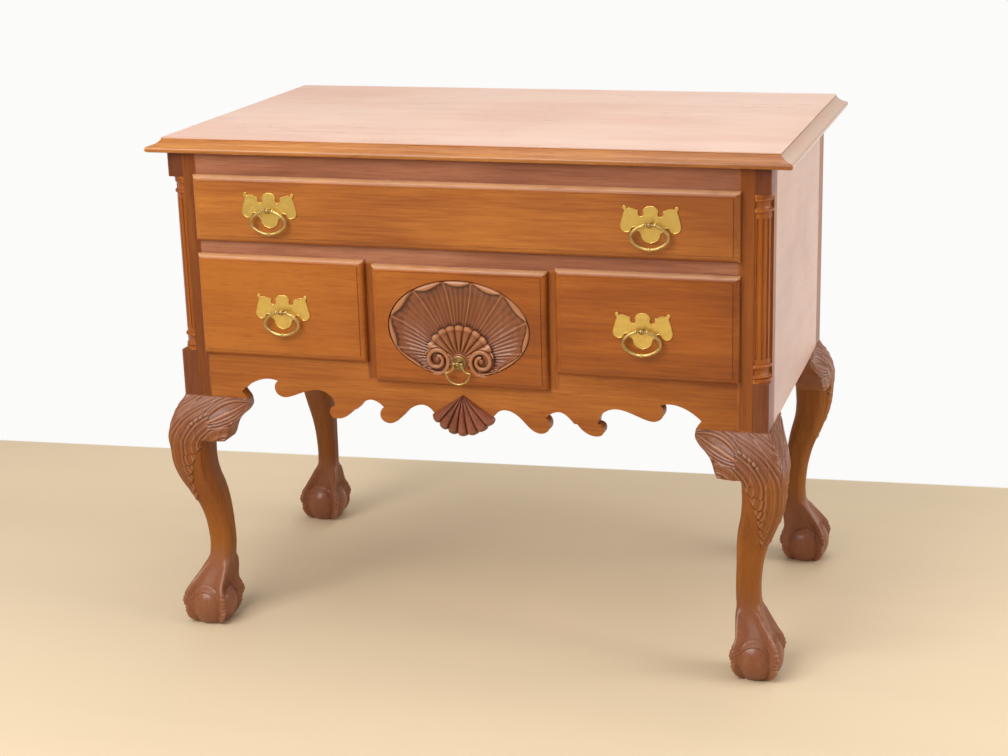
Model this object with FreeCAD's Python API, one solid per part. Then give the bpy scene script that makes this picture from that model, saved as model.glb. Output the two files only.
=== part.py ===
import FreeCAD, Part

import math
import os

# A lowboy: a low chest on cabriole legs with one long drawer over three short ones.
# Millimetres. X runs to the right, Y to the back, Z up. The origin is on the floor, in the
# middle of the width and of the whole depth from the front knees to the back of the top.
V = FreeCAD.Vector

# ---- heights, from the floor up ----
KNEE_HEIGHT = 377.5           # floor to the underside of the case
APRON_HEIGHT = 47.0           # underside of the case to the centre drawer's sill
SIDE_SILL_RISE = 27.5         # centre drawer's sill to the side drawers' sills
LOWER_OPENING_HEIGHT = 144.0  # side drawers' sill to the underside of the blade
BLADE_HEIGHT = 31.0
LONG_OPENING_HEIGHT = 92.0
TOP_RAIL_HEIGHT = 35.5
TOP_THICKNESS = 20.5

# ---- plan of the case and its top ----
CASE_WIDTH = 903.0
CASE_DEPTH = 504.0
TOP_SIDE_OVERHANG = 30.5
TOP_FRONT_OVERHANG = 14.0
TOP_BACK_OVERHANG = 54.0
POST = 45.0                   # square post at each corner
CENTRE_OPENING_WIDTH = 260.0
DIVIDER_WIDTH = 18.5

# ---- boards and joints ----
RAIL_THICKNESS = 22.0
BLADE_DEPTH = 60.0
APRON_THICKNESS = 20.0
SIDE_THICKNESS = 18.0
BACK_THICKNESS = 12.0
BACK_SETBACK = 6.0            # back panel in from the rear posts' back faces
TENON_THICKNESS = 8.0
TENON_LENGTH = 14.0
TENON_SHOULDER = 5.0
TONGUE_THICKNESS = 8.0
TONGUE_LENGTH = 8.0
DIVIDER_HOUSING = 3.5         # how deep each divider is let into the apron and the blade

# ---- top board's moulded edge ----
EDGE_INSET = 19.5             # lip to the edge of the flat top
EDGE_STEP = 2.5
EDGE_NOSE = 9.0               # height of the rounded nose
NOSE_REACH = 4.5

# ---- quarter columns ----
COLUMN = 23.0                 # square recess in each front corner
COLUMN_TOP_DROP = 37.0        # top of the case to the top of the capital
COLUMN_BASE_RISE = 72.0       # underside of the case to the foot of the base
SHAFT_RADIUS = 20.5
CAPITAL_HEIGHT = 31.0
FLUTE_COUNT = 4
FLUTE_RADIUS = 2.0
FLUTE_MARGIN = 3.0            # plain shaft left above and below the flutes

# ---- legs: sections are squares with rounded corners, measured out from the case's corner ----
KNEE_REACH = 27.0             # how far the knee stands out from the case
FOOT_CENTRE = 13.0            # foot's middle, in from the case's faces
ANKLE_IN = 13.5               # ankle's outer face, in from the case's faces
ANKLE_WIDTH = 32.0
ANKLE_HEIGHT = 130.0
BALL_RADIUS = 33.0
BALL_CENTRE_HEIGHT = 29.5
TALON_RADIUS = 7.0
KNUCKLE_RADIUS = 9.0
TALON_TOP_ANGLE = 66.0
TALON_TIP_ANGLE = -38.0
KNUCKLE_ANGLES = (50.0, 8.0)
WEB_HEIGHT = 57.0             # where the skin between the talons meets the ball
WEB_HALF_WIDTH = 25.0

# ---- knee brackets ----
BRACKET_LENGTH = 59.0
BRACKET_DROP = 66.0
BRACKET_SWELL = 20.0          # how far a bracket bulges beside the knee

# ---- drawers ----
LIP_LAP = 3.5                 # how far a drawer's lip covers the frame
SIDE_TOP_LAP = 7.5            # the same at the top of the side drawers
CENTRE_TOP_LAP = 2.5          # and at the top of the centre drawer
LIP_PROUD = 12.0
LIP_GAP = 0.4                 # lip to case when shut
LIP_EDGE = 3.5                # square edge left behind the thumbnail
THUMBNAIL = 9.0
THUMBNAIL_STEP = 1.5
FRONT_BODY = 12.0             # part of the front inside the opening
DRAWER_SIDE_GAP = 1.0
DRAWER_TOP_GAP = 1.5
RUN_GAP = 0.3                 # drawer to runner
DRAWER_SIDE = 11.0
DRAWER_SIDE_DROP = 8.0        # sides stop this far below the opening's top
DRAWER_BACK_GAP = 12.0        # drawer to back panel
BOTTOM_THICKNESS = 6.0
BOTTOM_RISE = 8.0             # underside of the sides to the bottom board
GROOVE_DEPTH = 5.0
GROOVE_GAP = 0.25
TAIL_LENGTH = 8.0
TAIL_COUNT_SHALLOW = 3
TAIL_COUNT_DEEP = 4
TAIL_SLOPE = 2.0

# ---- running gear inside the case ----
RUNNER_HEIGHT = 22.0
RUNNER_COVER = 22.0           # width of runner under a drawer's side
GUIDE_HEIGHT = 26.0
GLUE_BLOCK = 18.0
GLUE_BLOCK_HEIGHT = 42.0
SCREW_RADIUS = 2.2
SCREW_HEAD_RADIUS = 4.2
SCREW_HEAD_HEIGHT = 2.6
SCREW_BORE_RADIUS = 5.5
SCREW_BORE_DEPTH = 15.0
SCREW_BITE = 12.0             # how far a screw goes into the top
SCREW_GAP = 0.1

# ---- carving on the apron and on the centre drawer ----
PENDANT_RISE = 26.5           # underside of the case to the pendant's apex
PENDANT_RADIUS = 56.0
PENDANT_LOBES = 7
PENDANT_HALF_ANGLE = 44.0
PENDANT_LOBE_RADIUS = 6.6
PENDANT_BACKING = 52.0        # apron left behind the pendant
SHELL_HALF_WIDTH = 108.0
SHELL_HALF_HEIGHT = 73.0
SHELL_DEPTH = 12.0
SHELL_GAP = 0.3
SHELL_DISH = 8.0
SHELL_RIM = 3.0               # flat edge left round the dish
SHELL_FAN_RADIUS = 47.0
SHELL_FAN_RISE = 7.0
SHELL_FAN_DROP = 27.0         # fan's middle below the shell's middle
VOLUTE_RADIUS = 17.0
VOLUTE_SPREAD = 34.0
VOLUTE_DROP = 47.0
ROSETTE_SEAT_RADIUS = 12.5
ROSETTE_SEAT_DROP = 50.0

# ---- brass pulls ----
PLATE_THICKNESS = 1.6
PIVOT_OUT = 6.5               # plate's face to the bail's axis
POST_HEAD_RADIUS = 4.5
POST_NECK_RADIUS = 3.2
POST_SHANK_RADIUS = 2.4
POST_HOLE_GAP = 0.1
POST_NUT_RADIUS = 6.0
POST_NUT_THICKNESS = 3.0
POST_TAIL = 2.0               # shank showing past its nut
PIN_RADIUS = 1.3
PIN_GAP = 0.05
PIN_END = 0.9                 # half the space between the two pins in the head
COLLAR_RADIUS = 2.9
COLLAR_OUT = 8.0
BAIL_HALF_WIDTH = 27.0
BAIL_HALF_HEIGHT = 17.3
BAIL_SIDE_ARC = 10.5
BAIL_RADIUS = 2.2
BAIL_SWELL = 3.1
LONG_PULL_INSET = 120.5       # pulls of the long drawer, in from the posts
LONG_PULL_RISE = 1.5          # pivot above the middle of the opening
SIDE_PULL_INSET = 3.5         # side drawers' pulls, in from the middle of their openings
SIDE_PULL_RISE = -2.5
ROSETTE_RADIUS = 10.5
ROSETTE_DOME = 1.4
ROSETTE_HEAD_RADIUS = 3.6
ROSETTE_COLLAR_RADIUS = 2.2
ROSETTE_COLLAR_OUT = 6.2
ROSETTE_BAIL_RADIUS = 1.3
ROSETTE_BAIL_KNOT = 1.9       # small knot at each shoulder of the bail
ROSETTE_BAIL_HALF_WIDTH = 18.0
ROSETTE_BAIL_SHOULDER = 14.0
ROSETTE_BAIL_DROP = 31.0

# ---- places worked out from the sizes ----
CASE_SIDE = CASE_WIDTH / 2
HALF_DEPTH = (KNEE_REACH + CASE_DEPTH + TOP_BACK_OVERHANG) / 2
CASE_FRONT = KNEE_REACH - HALF_DEPTH
CASE_BACK = CASE_FRONT + CASE_DEPTH
POST_SIDE = CASE_SIDE - POST
POST_FRONT = CASE_FRONT + POST
POST_BACK = CASE_BACK - POST
SIDE_INNER = CASE_SIDE - SIDE_THICKNESS
BACK_INNER = CASE_BACK - BACK_SETBACK - BACK_THICKNESS
CENTRE_SILL = KNEE_HEIGHT + APRON_HEIGHT
SIDE_SILL = CENTRE_SILL + SIDE_SILL_RISE
BLADE_BOTTOM = SIDE_SILL + LOWER_OPENING_HEIGHT
BLADE_TOP = BLADE_BOTTOM + BLADE_HEIGHT
TOP_RAIL_BOTTOM = BLADE_TOP + LONG_OPENING_HEIGHT
CASE_TOP = TOP_RAIL_BOTTOM + TOP_RAIL_HEIGHT
CENTRE_SIDE = CENTRE_OPENING_WIDTH / 2
DIVIDER_SIDE = CENTRE_SIDE + DIVIDER_WIDTH
LIP_BACK = CASE_FRONT - LIP_GAP
DRAWER_FACE = LIP_BACK - LIP_PROUD
FRONT_INNER = LIP_BACK + FRONT_BODY
DRAWER_END = BACK_INNER - DRAWER_BACK_GAP
SHELL_HEIGHT = (CENTRE_SILL + BLADE_BOTTOM) / 2 - 2.0
LONG_PULL_X = POST_SIDE - LONG_PULL_INSET
SIDE_PULL_X = (DIVIDER_SIDE + POST_SIDE) / 2 - SIDE_PULL_INSET
LONG_PULL_HEIGHT = (BLADE_TOP + TOP_RAIL_BOTTOM) / 2 + LONG_PULL_RISE
SIDE_PULL_HEIGHT = (SIDE_SILL + BLADE_BOTTOM) / 2 + SIDE_PULL_RISE
ROSETTE_HEIGHT = SHELL_HEIGHT - ROSETTE_SEAT_DROP

# The knee's sections under the case: share of the bracket's drop, share of the knee's reach,
# rounding of the corners.
KNEE_STATIONS = ((0.0, 0.0, 3.0), (0.27, 0.46, 6.0), (0.62, 0.83, 9.0), (1.0, 1.0, 11.0))

# The foot's and the shank's sections upwards: share of the height, how far the outer face leans
# out from the ankle's, how far the width has grown from the ankle's, rounding.
FOOT_STATIONS = ((0.0, 1.0, 1.0, 17.0), (0.21, 0.88, 0.72, 14.0), (0.45, 0.37, 0.33, 9.0),
                 (0.70, 0.06, 0.06, 7.5))
SHANK_STATIONS = ((0.0, 0.0, 0.0, 7.0), (0.165, 0.062, 0.042, 7.5), (0.33, 0.195, 0.135, 8.5),
                  (0.495, 0.422, 0.302, 10.5), (0.66, 0.684, 0.46, 12.0), (0.825, 0.889, 0.64, 12.5),
                  (0.93, 0.975, 0.83, 12.0), (1.0, 1.0, 1.0, 11.0))

# The apron's lower edge, right half, from the pendant outwards: distance from the middle and
# height above the underside of the case. Each run is one smooth curve and they meet at cusps.
APRON_RUNS = (
    ((46.0, -2.7), (67.0, 8.3), (88.0, -3.0), (103.5, -18.5), (119.0, -23.9), (130.0, -17.5),
     (131.5, -8.5), (125.6, 0.5)),
    ((125.6, 0.5), (134.0, 7.5), (148.0, 10.8), (158.0, 5.5), (168.2, -5.2)),
    ((168.2, -5.2), (173.1, -5.7)),
    ((173.1, -5.7), (185.0, -17.3), (199.0, -22.2), (210.5, -19.0), (212.8, -12.0), (204.0, -3.3)),
    ((204.0, -3.3), (208.5, 10.5), (226.0, 20.5), (252.0, 16.5), (275.0, 7.8), (287.0, 5.9),
     (297.5, 11.1), (301.0, 20.8), (295.3, 30.9)),
    ((295.3, 30.9), (310.0, 33.5), (330.0, 29.0), (345.0, 20.5), (355.8, 11.2)),
    ((355.8, 11.2), (347.5, 0.0)),
)

# A batwing plate's right half, clockwise from the top: each step is an arc's middle and end, or
# None and the end of a straight run, from the pivot.
PLATE_START = (0.0, 27.0)
PLATE_STEPS = (
    ((6.8, 25.6), (11.7, 21.6)),
    (None, (10.9, 19.6)),
    ((14.2, 13.4), (17.6, 19.6)),
    (None, (18.6, 21.2)),
    ((22.0, 20.3), (25.0, 21.8)),
    ((28.3, 21.4), (31.0, 23.4)),
    (None, (34.6, 26.9)),
    ((39.2, 27.8), (37.8, 23.5)),
    (None, (35.4, 20.5)),
    ((37.6, 12.6), (40.9, 5.0)),
    ((40.7, -6.0), (34.2, -10.4)),
    ((30.2, -9.5), (27.2, -6.2)),
    ((23.5, -3.8), (20.0, -5.4)),
    (None, (19.0, -9.0)),
    ((13.6, -11.4), (12.4, -17.0)),
    ((8.6, -19.2), (4.4, -22.6)),
    (None, (0.0, -25.6)),
)


def box(x, y, z):
    """A box from three (low, high) pairs."""
    size = (x[1] - x[0], y[1] - y[0], z[1] - z[0])
    return Part.makeBox(*size, V(x[0], y[0], z[0]))


def fuse(shapes):
    """One solid from shapes that touch or overlap."""
    return shapes[0].multiFuse(shapes[1:]).removeSplitter()


def fuse_in_turn(shapes):
    """One solid from many rounded shapes, added one after another."""
    whole = shapes[0]
    for shape in shapes[1:]:
        whole = whole.fuse(shape)
    return whole


def flipped(shape):
    """The same shape on the other side of the middle."""
    return shape.mirror(V(0, 0, 0), V(1, 0, 0))


def chain(start, steps, place):
    """Edges through steps of (arc middle or None, end), with place turning each pair into a point."""
    edges = []
    for middle, end in steps:
        if middle is None:
            edges.append(Part.makeLine(place(*start), place(*end)))
        else:
            edges.append(Part.Arc(place(*start), place(*middle), place(*end)).toShape())
        start = end
    return edges


def slab(edges, along):
    """The closed outline of these edges, pushed along a vector."""
    return Part.Face(Part.Wire(Part.__sortEdges__(edges))).extrude(along)


def in_front(across, up):
    """A point of the case's front plane."""
    return V(across, CASE_FRONT, up)


# ---- the case ----

def leg_section(outer, inner, rounding, height):
    """A square with rounded corners, between its outer and inner faces on both axes."""
    r = rounding
    low, high = inner, outer
    k = r * (1 - math.sqrt(0.5))
    steps = (
        (None, (high - r, low)), ((high - k, low + k), (high, low + r)),
        (None, (high, high - r)), ((high - k, high - k), (high - r, high)),
        (None, (low + r, high)), ((low + k, high - k), (low, high - r)),
        (None, (low, low + r)), ((low + k, low + k), (low + r, low)),
    )
    return Part.Wire(chain((low + r, low), steps, lambda u, v: V(u, v, height)))


def talon(turn):
    """One toe over the ball: a bent finger with two knuckles, in the direction turn."""
    centre = V(-FOOT_CENTRE, -FOOT_CENTRE, BALL_CENTRE_HEIGHT)
    finger = Part.makeTorus(BALL_RADIUS, TALON_RADIUS, V(0, 0, 0), V(0, -1, 0), -180, 180,
                            TALON_TOP_ANGLE - TALON_TIP_ANGLE)
    finger.rotate(V(0, 0, 0), V(0, -1, 0), TALON_TIP_ANGLE)
    parts = [finger]
    knobs = [(angle, KNUCKLE_RADIUS) for angle in KNUCKLE_ANGLES]
    for angle, radius in knobs + [(TALON_TIP_ANGLE, TALON_RADIUS), (TALON_TOP_ANGLE, TALON_RADIUS)]:
        a = math.radians(angle)
        knob = Part.makeSphere(radius, V(BALL_RADIUS * math.cos(a), 0, BALL_RADIUS * math.sin(a)))
        parts.append(knob)
    toe = fuse_in_turn(parts)
    toe.rotate(V(0, 0, 0), V(0, 0, 1), turn)
    toe.translate(centre)
    return toe


def leg_blank(recessed):
    """A leg at the case's corner (0, 0), standing out towards +X and +Y."""
    bracket_foot = KNEE_HEIGHT - BRACKET_DROP
    upper = [leg_section(KNEE_REACH * reach, -POST, rounding, KNEE_HEIGHT - BRACKET_DROP * share)
             for share, reach, rounding in KNEE_STATIONS]
    lower = []
    for base, top, outer, width, stations in (
        (WEB_HEIGHT, ANKLE_HEIGHT, WEB_HALF_WIDTH - FOOT_CENTRE, 2 * WEB_HALF_WIDTH, FOOT_STATIONS),
        (ANKLE_HEIGHT, bracket_foot, KNEE_REACH, POST + KNEE_REACH, SHANK_STATIONS),
    ):
        for share, lean, spread, rounding in stations:
            face = -ANKLE_IN + lean * (outer + ANKLE_IN)
            back = face - ANKLE_WIDTH - spread * (width - ANKLE_WIDTH)
            lower.append(leg_section(face, back, rounding, base + share * (top - base)))
    post = box((-POST, 0), (-POST, 0), (KNEE_HEIGHT, CASE_TOP))
    if recessed:
        post = post.cut(box((-COLUMN, 0), (-COLUMN, 0), (KNEE_HEIGHT, CASE_TOP)))
    centre = V(-FOOT_CENTRE, -FOOT_CENTRE, BALL_CENTRE_HEIGHT)
    ball = Part.makeSphere(BALL_RADIUS, centre)
    foot = fuse_in_turn([ball] + [talon(45 + 90 * quarter) for quarter in range(4)])
    spread = 4 * BALL_RADIUS
    foot = foot.cut(box((-spread, spread), (-spread, spread), (-BALL_RADIUS, 0)))
    return fuse_in_turn([post, Part.makeLoft(upper, True), Part.makeLoft(lower, True), foot])


def tenon_boxes(z, depth):
    """The right-hand tenon of a front rail between two heights, of a given board depth."""
    middle = CASE_FRONT + depth / 2
    y = (middle - TENON_THICKNESS / 2, middle + TENON_THICKNESS / 2)
    return box((POST_SIDE, POST_SIDE + TENON_LENGTH), y, (z[0] + TENON_SHOULDER, z[1] - TENON_SHOULDER))


def front_tenons():
    """Every tenon that enters the right front post."""
    return [
        tenon_boxes((TOP_RAIL_BOTTOM, CASE_TOP), RAIL_THICKNESS),
        tenon_boxes((BLADE_BOTTOM, BLADE_TOP), RAIL_THICKNESS),
        tenon_boxes((KNEE_HEIGHT, SIDE_SILL), APRON_THICKNESS),
    ]


def side_tongues():
    """The side panel's tongues into its front and rear posts, on the right."""
    x = (SIDE_INNER + TENON_SHOULDER, SIDE_INNER + TENON_SHOULDER + TONGUE_THICKNESS)
    z = (KNEE_HEIGHT + TENON_SHOULDER, CASE_TOP - TENON_SHOULDER)
    return [box(x, (POST_FRONT - TONGUE_LENGTH, POST_FRONT), z),
            box(x, (POST_BACK, POST_BACK + TONGUE_LENGTH), z)]


def back_tongue():
    """The back panel's tongue into the right rear post."""
    return box((POST_SIDE, POST_SIDE + TONGUE_LENGTH), (BACK_INNER, BACK_INNER + BACK_THICKNESS),
               (KNEE_HEIGHT + TENON_SHOULDER, CASE_TOP - TENON_SHOULDER))


def right_legs():
    """The two right-hand legs, with their mortises and grooves."""
    front = leg_blank(True).mirror(V(0, 0, 0), V(0, 1, 0))
    front.translate(V(CASE_SIDE, CASE_FRONT, 0))
    rear = leg_blank(False)
    rear.translate(V(CASE_SIDE, CASE_BACK, 0))
    tongues = side_tongues()
    return front.cut(front_tenons() + tongues[:1]), rear.cut([back_tongue()] + tongues[1:])


def rail(z, depth, tenon):
    """A front rail with a tenon at each end."""
    board = box((-POST_SIDE, POST_SIDE), (CASE_FRONT, CASE_FRONT + depth), z)
    return fuse([board, tenon, flipped(tenon)])


def divider():
    """The right-hand upright between the lower drawers, housed at both ends."""
    return box((CENTRE_SIDE, DIVIDER_SIDE), (CASE_FRONT, CASE_FRONT + APRON_THICKNESS),
               (CENTRE_SILL - DIVIDER_HOUSING, BLADE_BOTTOM + DIVIDER_HOUSING))


def apron():
    """The scrolled skirt, with the sills of the lower drawers along its top edge."""
    stretch = (POST_SIDE - BRACKET_LENGTH) / APRON_RUNS[-1][-1][0]
    edges = []
    for run in APRON_RUNS:
        points = [in_front(x * stretch, KNEE_HEIGHT + z) for x, z in run]
        if len(points) == 2:
            edges.append(Part.makeLine(*points))
        else:
            curve = Part.BSplineCurve()
            curve.interpolate(points)
            edges.append(curve.toShape())
    cusp = edges[0].Vertexes[0].Point
    apex = KNEE_HEIGHT + PENDANT_RISE
    start = in_front(0, apex - PENDANT_BACKING)
    turn = math.radians(PENDANT_HALF_ANGLE / 2)
    middle = in_front(PENDANT_BACKING * math.sin(turn), apex - PENDANT_BACKING * math.cos(turn))
    edges.append(Part.Arc(start, middle, cusp).toShape())
    tip = edges[len(APRON_RUNS) - 1].Vertexes[1].Point
    corners = [
        tip, in_front(POST_SIDE, KNEE_HEIGHT), in_front(POST_SIDE, SIDE_SILL),
        in_front(DIVIDER_SIDE, SIDE_SILL), in_front(DIVIDER_SIDE, CENTRE_SILL),
        in_front(0, CENTRE_SILL), start,
    ]
    edges += [Part.makeLine(a, b) for a, b in zip(corners, corners[1:])]
    half = slab(edges, V(0, APRON_THICKNESS, 0))
    tenon = tenon_boxes((KNEE_HEIGHT, SIDE_SILL), APRON_THICKNESS)
    whole = fuse([half, flipped(half), tenon, flipped(tenon)])
    return whole.cut([divider(), flipped(divider())])


def side_panel():
    """The right-hand side panel with its tongues."""
    board = box((SIDE_INNER, CASE_SIDE), (POST_FRONT, POST_BACK), (KNEE_HEIGHT, CASE_TOP))
    return fuse([board] + side_tongues())


def back_panel():
    """The back panel with its tongues."""
    board = box((-POST_SIDE, POST_SIDE), (BACK_INNER, BACK_INNER + BACK_THICKNESS),
                (KNEE_HEIGHT, CASE_TOP))
    return fuse([board, back_tongue(), flipped(back_tongue())])


def moulded_edge(lip, rim, place):
    """The top board's edge from its underside up to the flat top, rim being the flat's height."""
    nose = rim - TOP_THICKNESS
    steps = (
        ((lip(0), nose + EDGE_NOSE / 2), (lip(NOSE_REACH), nose + EDGE_NOSE)),
        ((lip(0.66 * EDGE_INSET), nose + 1.32 * EDGE_NOSE), (lip(EDGE_INSET), rim - EDGE_STEP)),
        (None, (lip(EDGE_INSET), rim)),
    )
    return chain((lip(NOSE_REACH), nose), steps, place)


def top_board():
    """The top: moulded along the front and both ends, square at the back."""
    rim = CASE_TOP + TOP_THICKNESS
    lip_x = CASE_SIDE + TOP_SIDE_OVERHANG
    front = CASE_FRONT - TOP_FRONT_OVERHANG
    back = CASE_BACK + TOP_BACK_OVERHANG

    def across(y, z):
        return V(-lip_x, y, z)

    def along(x, z):
        return V(x, front, z)

    edges = moulded_edge(lambda s: front + s, rim, across)
    corners = [across(front + EDGE_INSET, rim), across(back, rim), across(back, CASE_TOP),
               across(front + NOSE_REACH, CASE_TOP)]
    edges += [Part.makeLine(a, b) for a, b in zip(corners, corners[1:])]
    lengthways = slab(edges, V(2 * lip_x, 0, 0))
    right = moulded_edge(lambda s: lip_x - s, rim, along)
    left = moulded_edge(lambda s: s - lip_x, rim, along)
    rails = [Part.makeLine(along(-lip_x + EDGE_INSET, rim), along(lip_x - EDGE_INSET, rim)),
             Part.makeLine(along(-lip_x + NOSE_REACH, CASE_TOP), along(lip_x - NOSE_REACH, CASE_TOP))]
    crossways = slab(right + left + rails, V(0, back - front, 0))
    return lengthways.common(crossways)


def column():
    """The right-hand quarter column: fluted shaft, turned capital and base."""
    foot = KNEE_HEIGHT + COLUMN_BASE_RISE
    head = CASE_TOP - COLUMN_TOP_DROP
    ring = (head - foot) - 2 * CAPITAL_HEIGHT
    full = COLUMN
    waist = SHAFT_RADIUS
    step = CAPITAL_HEIGHT / 6

    def turned(base, sign):
        """Rings from an outer end (base) towards the shaft."""
        up = [base + sign * step * n for n in range(7)]
        return [
            (None, (full, up[0])), (None, (full, up[0])),
            ((full - 0.2, (up[0] + up[1]) / 2), (full - 0.6, up[1])),
            (None, (full - 2.6, up[1])), ((full - 0.8, (up[1] + up[2]) / 2), (full - 2.6, up[2])),
            ((full - 4.2, (up[2] + up[4]) / 2), (full - 2.6, up[4])),
            ((full, (up[4] + up[5]) / 2), (full - 2.6, up[5])),
            (None, (waist, up[6])),
        ]

    lower = [step_ for step_ in turned(foot, 1) if step_[1] != (full, foot)]
    upper = [step_ for step_ in turned(head, -1) if step_[1] != (full, head)]
    place = lambda radius, z: V(radius, 0, z)
    edges = chain((full, foot), lower, place)
    edges += chain((full, head), upper, place)
    edges.append(Part.makeLine(V(waist, 0, foot + CAPITAL_HEIGHT),
                               V(waist, 0, foot + CAPITAL_HEIGHT + ring)))
    edges.append(Part.makeLine(V(0, 0, foot), V(full, 0, foot)))
    edges.append(Part.makeLine(V(0, 0, head), V(full, 0, head)))
    edges.append(Part.makeLine(V(0, 0, foot), V(0, 0, head)))
    face = Part.Face(Part.Wire(Part.__sortEdges__(edges)))
    quarter = face.revolve(V(0, 0, 0), V(0, 0, 1), -90)
    flutes = []
    low = foot + CAPITAL_HEIGHT + FLUTE_MARGIN
    for n in range(FLUTE_COUNT):
        turn = math.radians(-90 * (n + 0.5) / FLUTE_COUNT)
        at = V(waist * math.cos(turn), waist * math.sin(turn), low)
        flutes.append(Part.makeCylinder(FLUTE_RADIUS, ring - 2 * FLUTE_MARGIN, at))
    quarter = quarter.cut(flutes)
    quarter.translate(V(CASE_SIDE - COLUMN, CASE_FRONT + COLUMN, 0))
    return quarter


def plinths():
    """The plain blocks above and below the right-hand column."""
    x = (CASE_SIDE - COLUMN, CASE_SIDE)
    y = (CASE_FRONT, CASE_FRONT + COLUMN)
    return [box(x, y, (KNEE_HEIGHT, KNEE_HEIGHT + COLUMN_BASE_RISE)),
            box(x, y, (CASE_TOP - COLUMN_TOP_DROP, CASE_TOP))]


def bracket_blank():
    """A bracket from the post's face at (0, 0) towards -X, under the case, swelling towards -Y."""
    length = BRACKET_LENGTH
    drop = BRACKET_DROP
    steps = (
        (None, (-length, 0.0)), ((-1.03 * length, -0.14 * drop), (-0.89 * length, -0.36 * drop)),
        ((-0.58 * length, -0.68 * drop), (-0.44 * length, -drop)), (None, (POST / 4, -drop)),
        (None, (POST / 4, 0.0)),
    )
    profile = slab(chain((POST / 4, 0.0), steps, lambda x, z: V(x, -BRACKET_SWELL, z)),
                   V(0, BRACKET_SWELL + APRON_THICKNESS, 0))
    plan_steps = (
        ((-0.45 * length, -0.35 * BRACKET_SWELL), (POST / 4, -BRACKET_SWELL)),
        (None, (POST / 4, APRON_THICKNESS)), (None, (-1.1 * length, APRON_THICKNESS)),
        (None, (-1.1 * length, 0.0)),
    )
    plan = slab(chain((-1.1 * length, 0.0), plan_steps, lambda x, y: V(x, y, -drop)), V(0, 0, drop))
    # The bulge also dies away towards the underside of the case.
    side_steps = (
        ((-0.72 * BRACKET_SWELL, -0.22 * drop), (-BRACKET_SWELL, -drop)),
        (None, (APRON_THICKNESS, -drop)), (None, (APRON_THICKNESS, 0.0)), (None, (0.0, 0.0)),
    )
    side = slab(chain((0.0, 0.0), side_steps, lambda y, z: V(-1.1 * length, y, z)),
                V(1.1 * length + POST / 4, 0, 0))
    return profile.common(plan).common(side)


def right_brackets(front_leg, rear_leg):
    """The brackets of the right front leg, then that of the rear leg, cut to seat on them."""
    under_apron = bracket_blank()
    under_apron.translate(V(POST_SIDE, CASE_FRONT, KNEE_HEIGHT))
    under_side = bracket_blank()
    under_side.rotate(V(0, 0, 0), V(0, 0, 1), 90)
    rear_side = under_side.copy()
    rear_side.translate(V(CASE_SIDE, POST_BACK, KNEE_HEIGHT))
    front_side = under_side.mirror(V(0, 0, 0), V(0, 1, 0))
    front_side.translate(V(CASE_SIDE, POST_FRONT, KNEE_HEIGHT))
    return [under_apron.cut(front_leg), front_side.cut(front_leg)], [rear_side.cut(rear_leg)]


def pendant():
    """The carved fan on the apron: half-round lobes spreading from one apex."""
    apex = V(0, CASE_FRONT, KNEE_HEIGHT + PENDANT_RISE)
    lobes = []
    tip = PENDANT_RADIUS - PENDANT_LOBE_RADIUS
    for n in range(PENDANT_LOBES):
        turn = math.radians(PENDANT_HALF_ANGLE * (2 * n / (PENDANT_LOBES - 1) - 1))
        way = V(math.sin(turn), 0, -math.cos(turn))
        lobes.append(Part.makeCone(PENDANT_LOBE_RADIUS / 2, PENDANT_LOBE_RADIUS, tip, apex, way))
        lobes.append(Part.makeSphere(PENDANT_LOBE_RADIUS, apex + way * tip))
    lobes.append(Part.makeSphere(PENDANT_LOBE_RADIUS / 2, apex))
    reach = 2 * PENDANT_RADIUS
    behind = box((-reach, reach), (CASE_FRONT, CASE_FRONT + reach), (0, CASE_TOP))
    return fuse(lobes).cut(behind)


# ---- running gear and fastenings ----

def clear_of_posts(shape):
    """A right-hand member cut around the front and rear posts."""
    z = (KNEE_HEIGHT, CASE_TOP)
    return shape.cut([box((POST_SIDE, CASE_SIDE), (CASE_FRONT, POST_FRONT), z),
                      box((POST_SIDE, CASE_SIDE), (POST_BACK, CASE_BACK), z)])


def outer_member(start, z, cover):
    """A member along the right-hand side panel, from y = start to the back panel."""
    return clear_of_posts(box((POST_SIDE - cover, SIDE_INNER), (start, BACK_INNER), z))


def running_gear():
    """Runners, guides and kickers for the right half."""
    blade_back = CASE_FRONT + BLADE_DEPTH
    apron_back = CASE_FRONT + APRON_THICKNESS
    long_runner = outer_member(blade_back, (BLADE_TOP - RUNNER_HEIGHT, BLADE_TOP), RUNNER_COVER)
    side_runner = outer_member(apron_back, (SIDE_SILL - RUNNER_HEIGHT, SIDE_SILL), RUNNER_COVER)
    centre_runner = box((CENTRE_SIDE - RUNNER_COVER, DIVIDER_SIDE), (apron_back, BACK_INNER),
                        (CENTRE_SILL - RUNNER_HEIGHT, CENTRE_SILL))
    inner_runner = box((CENTRE_SIDE, DIVIDER_SIDE + RUNNER_COVER), (apron_back, BACK_INNER),
                       (CENTRE_SILL, SIDE_SILL))
    long_guide = outer_member(POST_FRONT, (BLADE_TOP, BLADE_TOP + GUIDE_HEIGHT), 0)
    side_guide = outer_member(POST_FRONT, (SIDE_SILL, SIDE_SILL + GUIDE_HEIGHT), 0)
    inner_guide = box((CENTRE_SIDE, DIVIDER_SIDE), (apron_back, BACK_INNER),
                      (SIDE_SILL, SIDE_SILL + GUIDE_HEIGHT))
    kicker = outer_member(CASE_FRONT + RAIL_THICKNESS, (TOP_RAIL_BOTTOM, CASE_TOP), RUNNER_COVER)
    return {
        "long_drawer_runners": [long_runner],
        "lower_drawer_runners": [side_runner, centre_runner, inner_runner],
        "drawer_guides": [long_guide, side_guide, inner_guide],
        "long_drawer_kickers": [kicker],
    }


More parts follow.
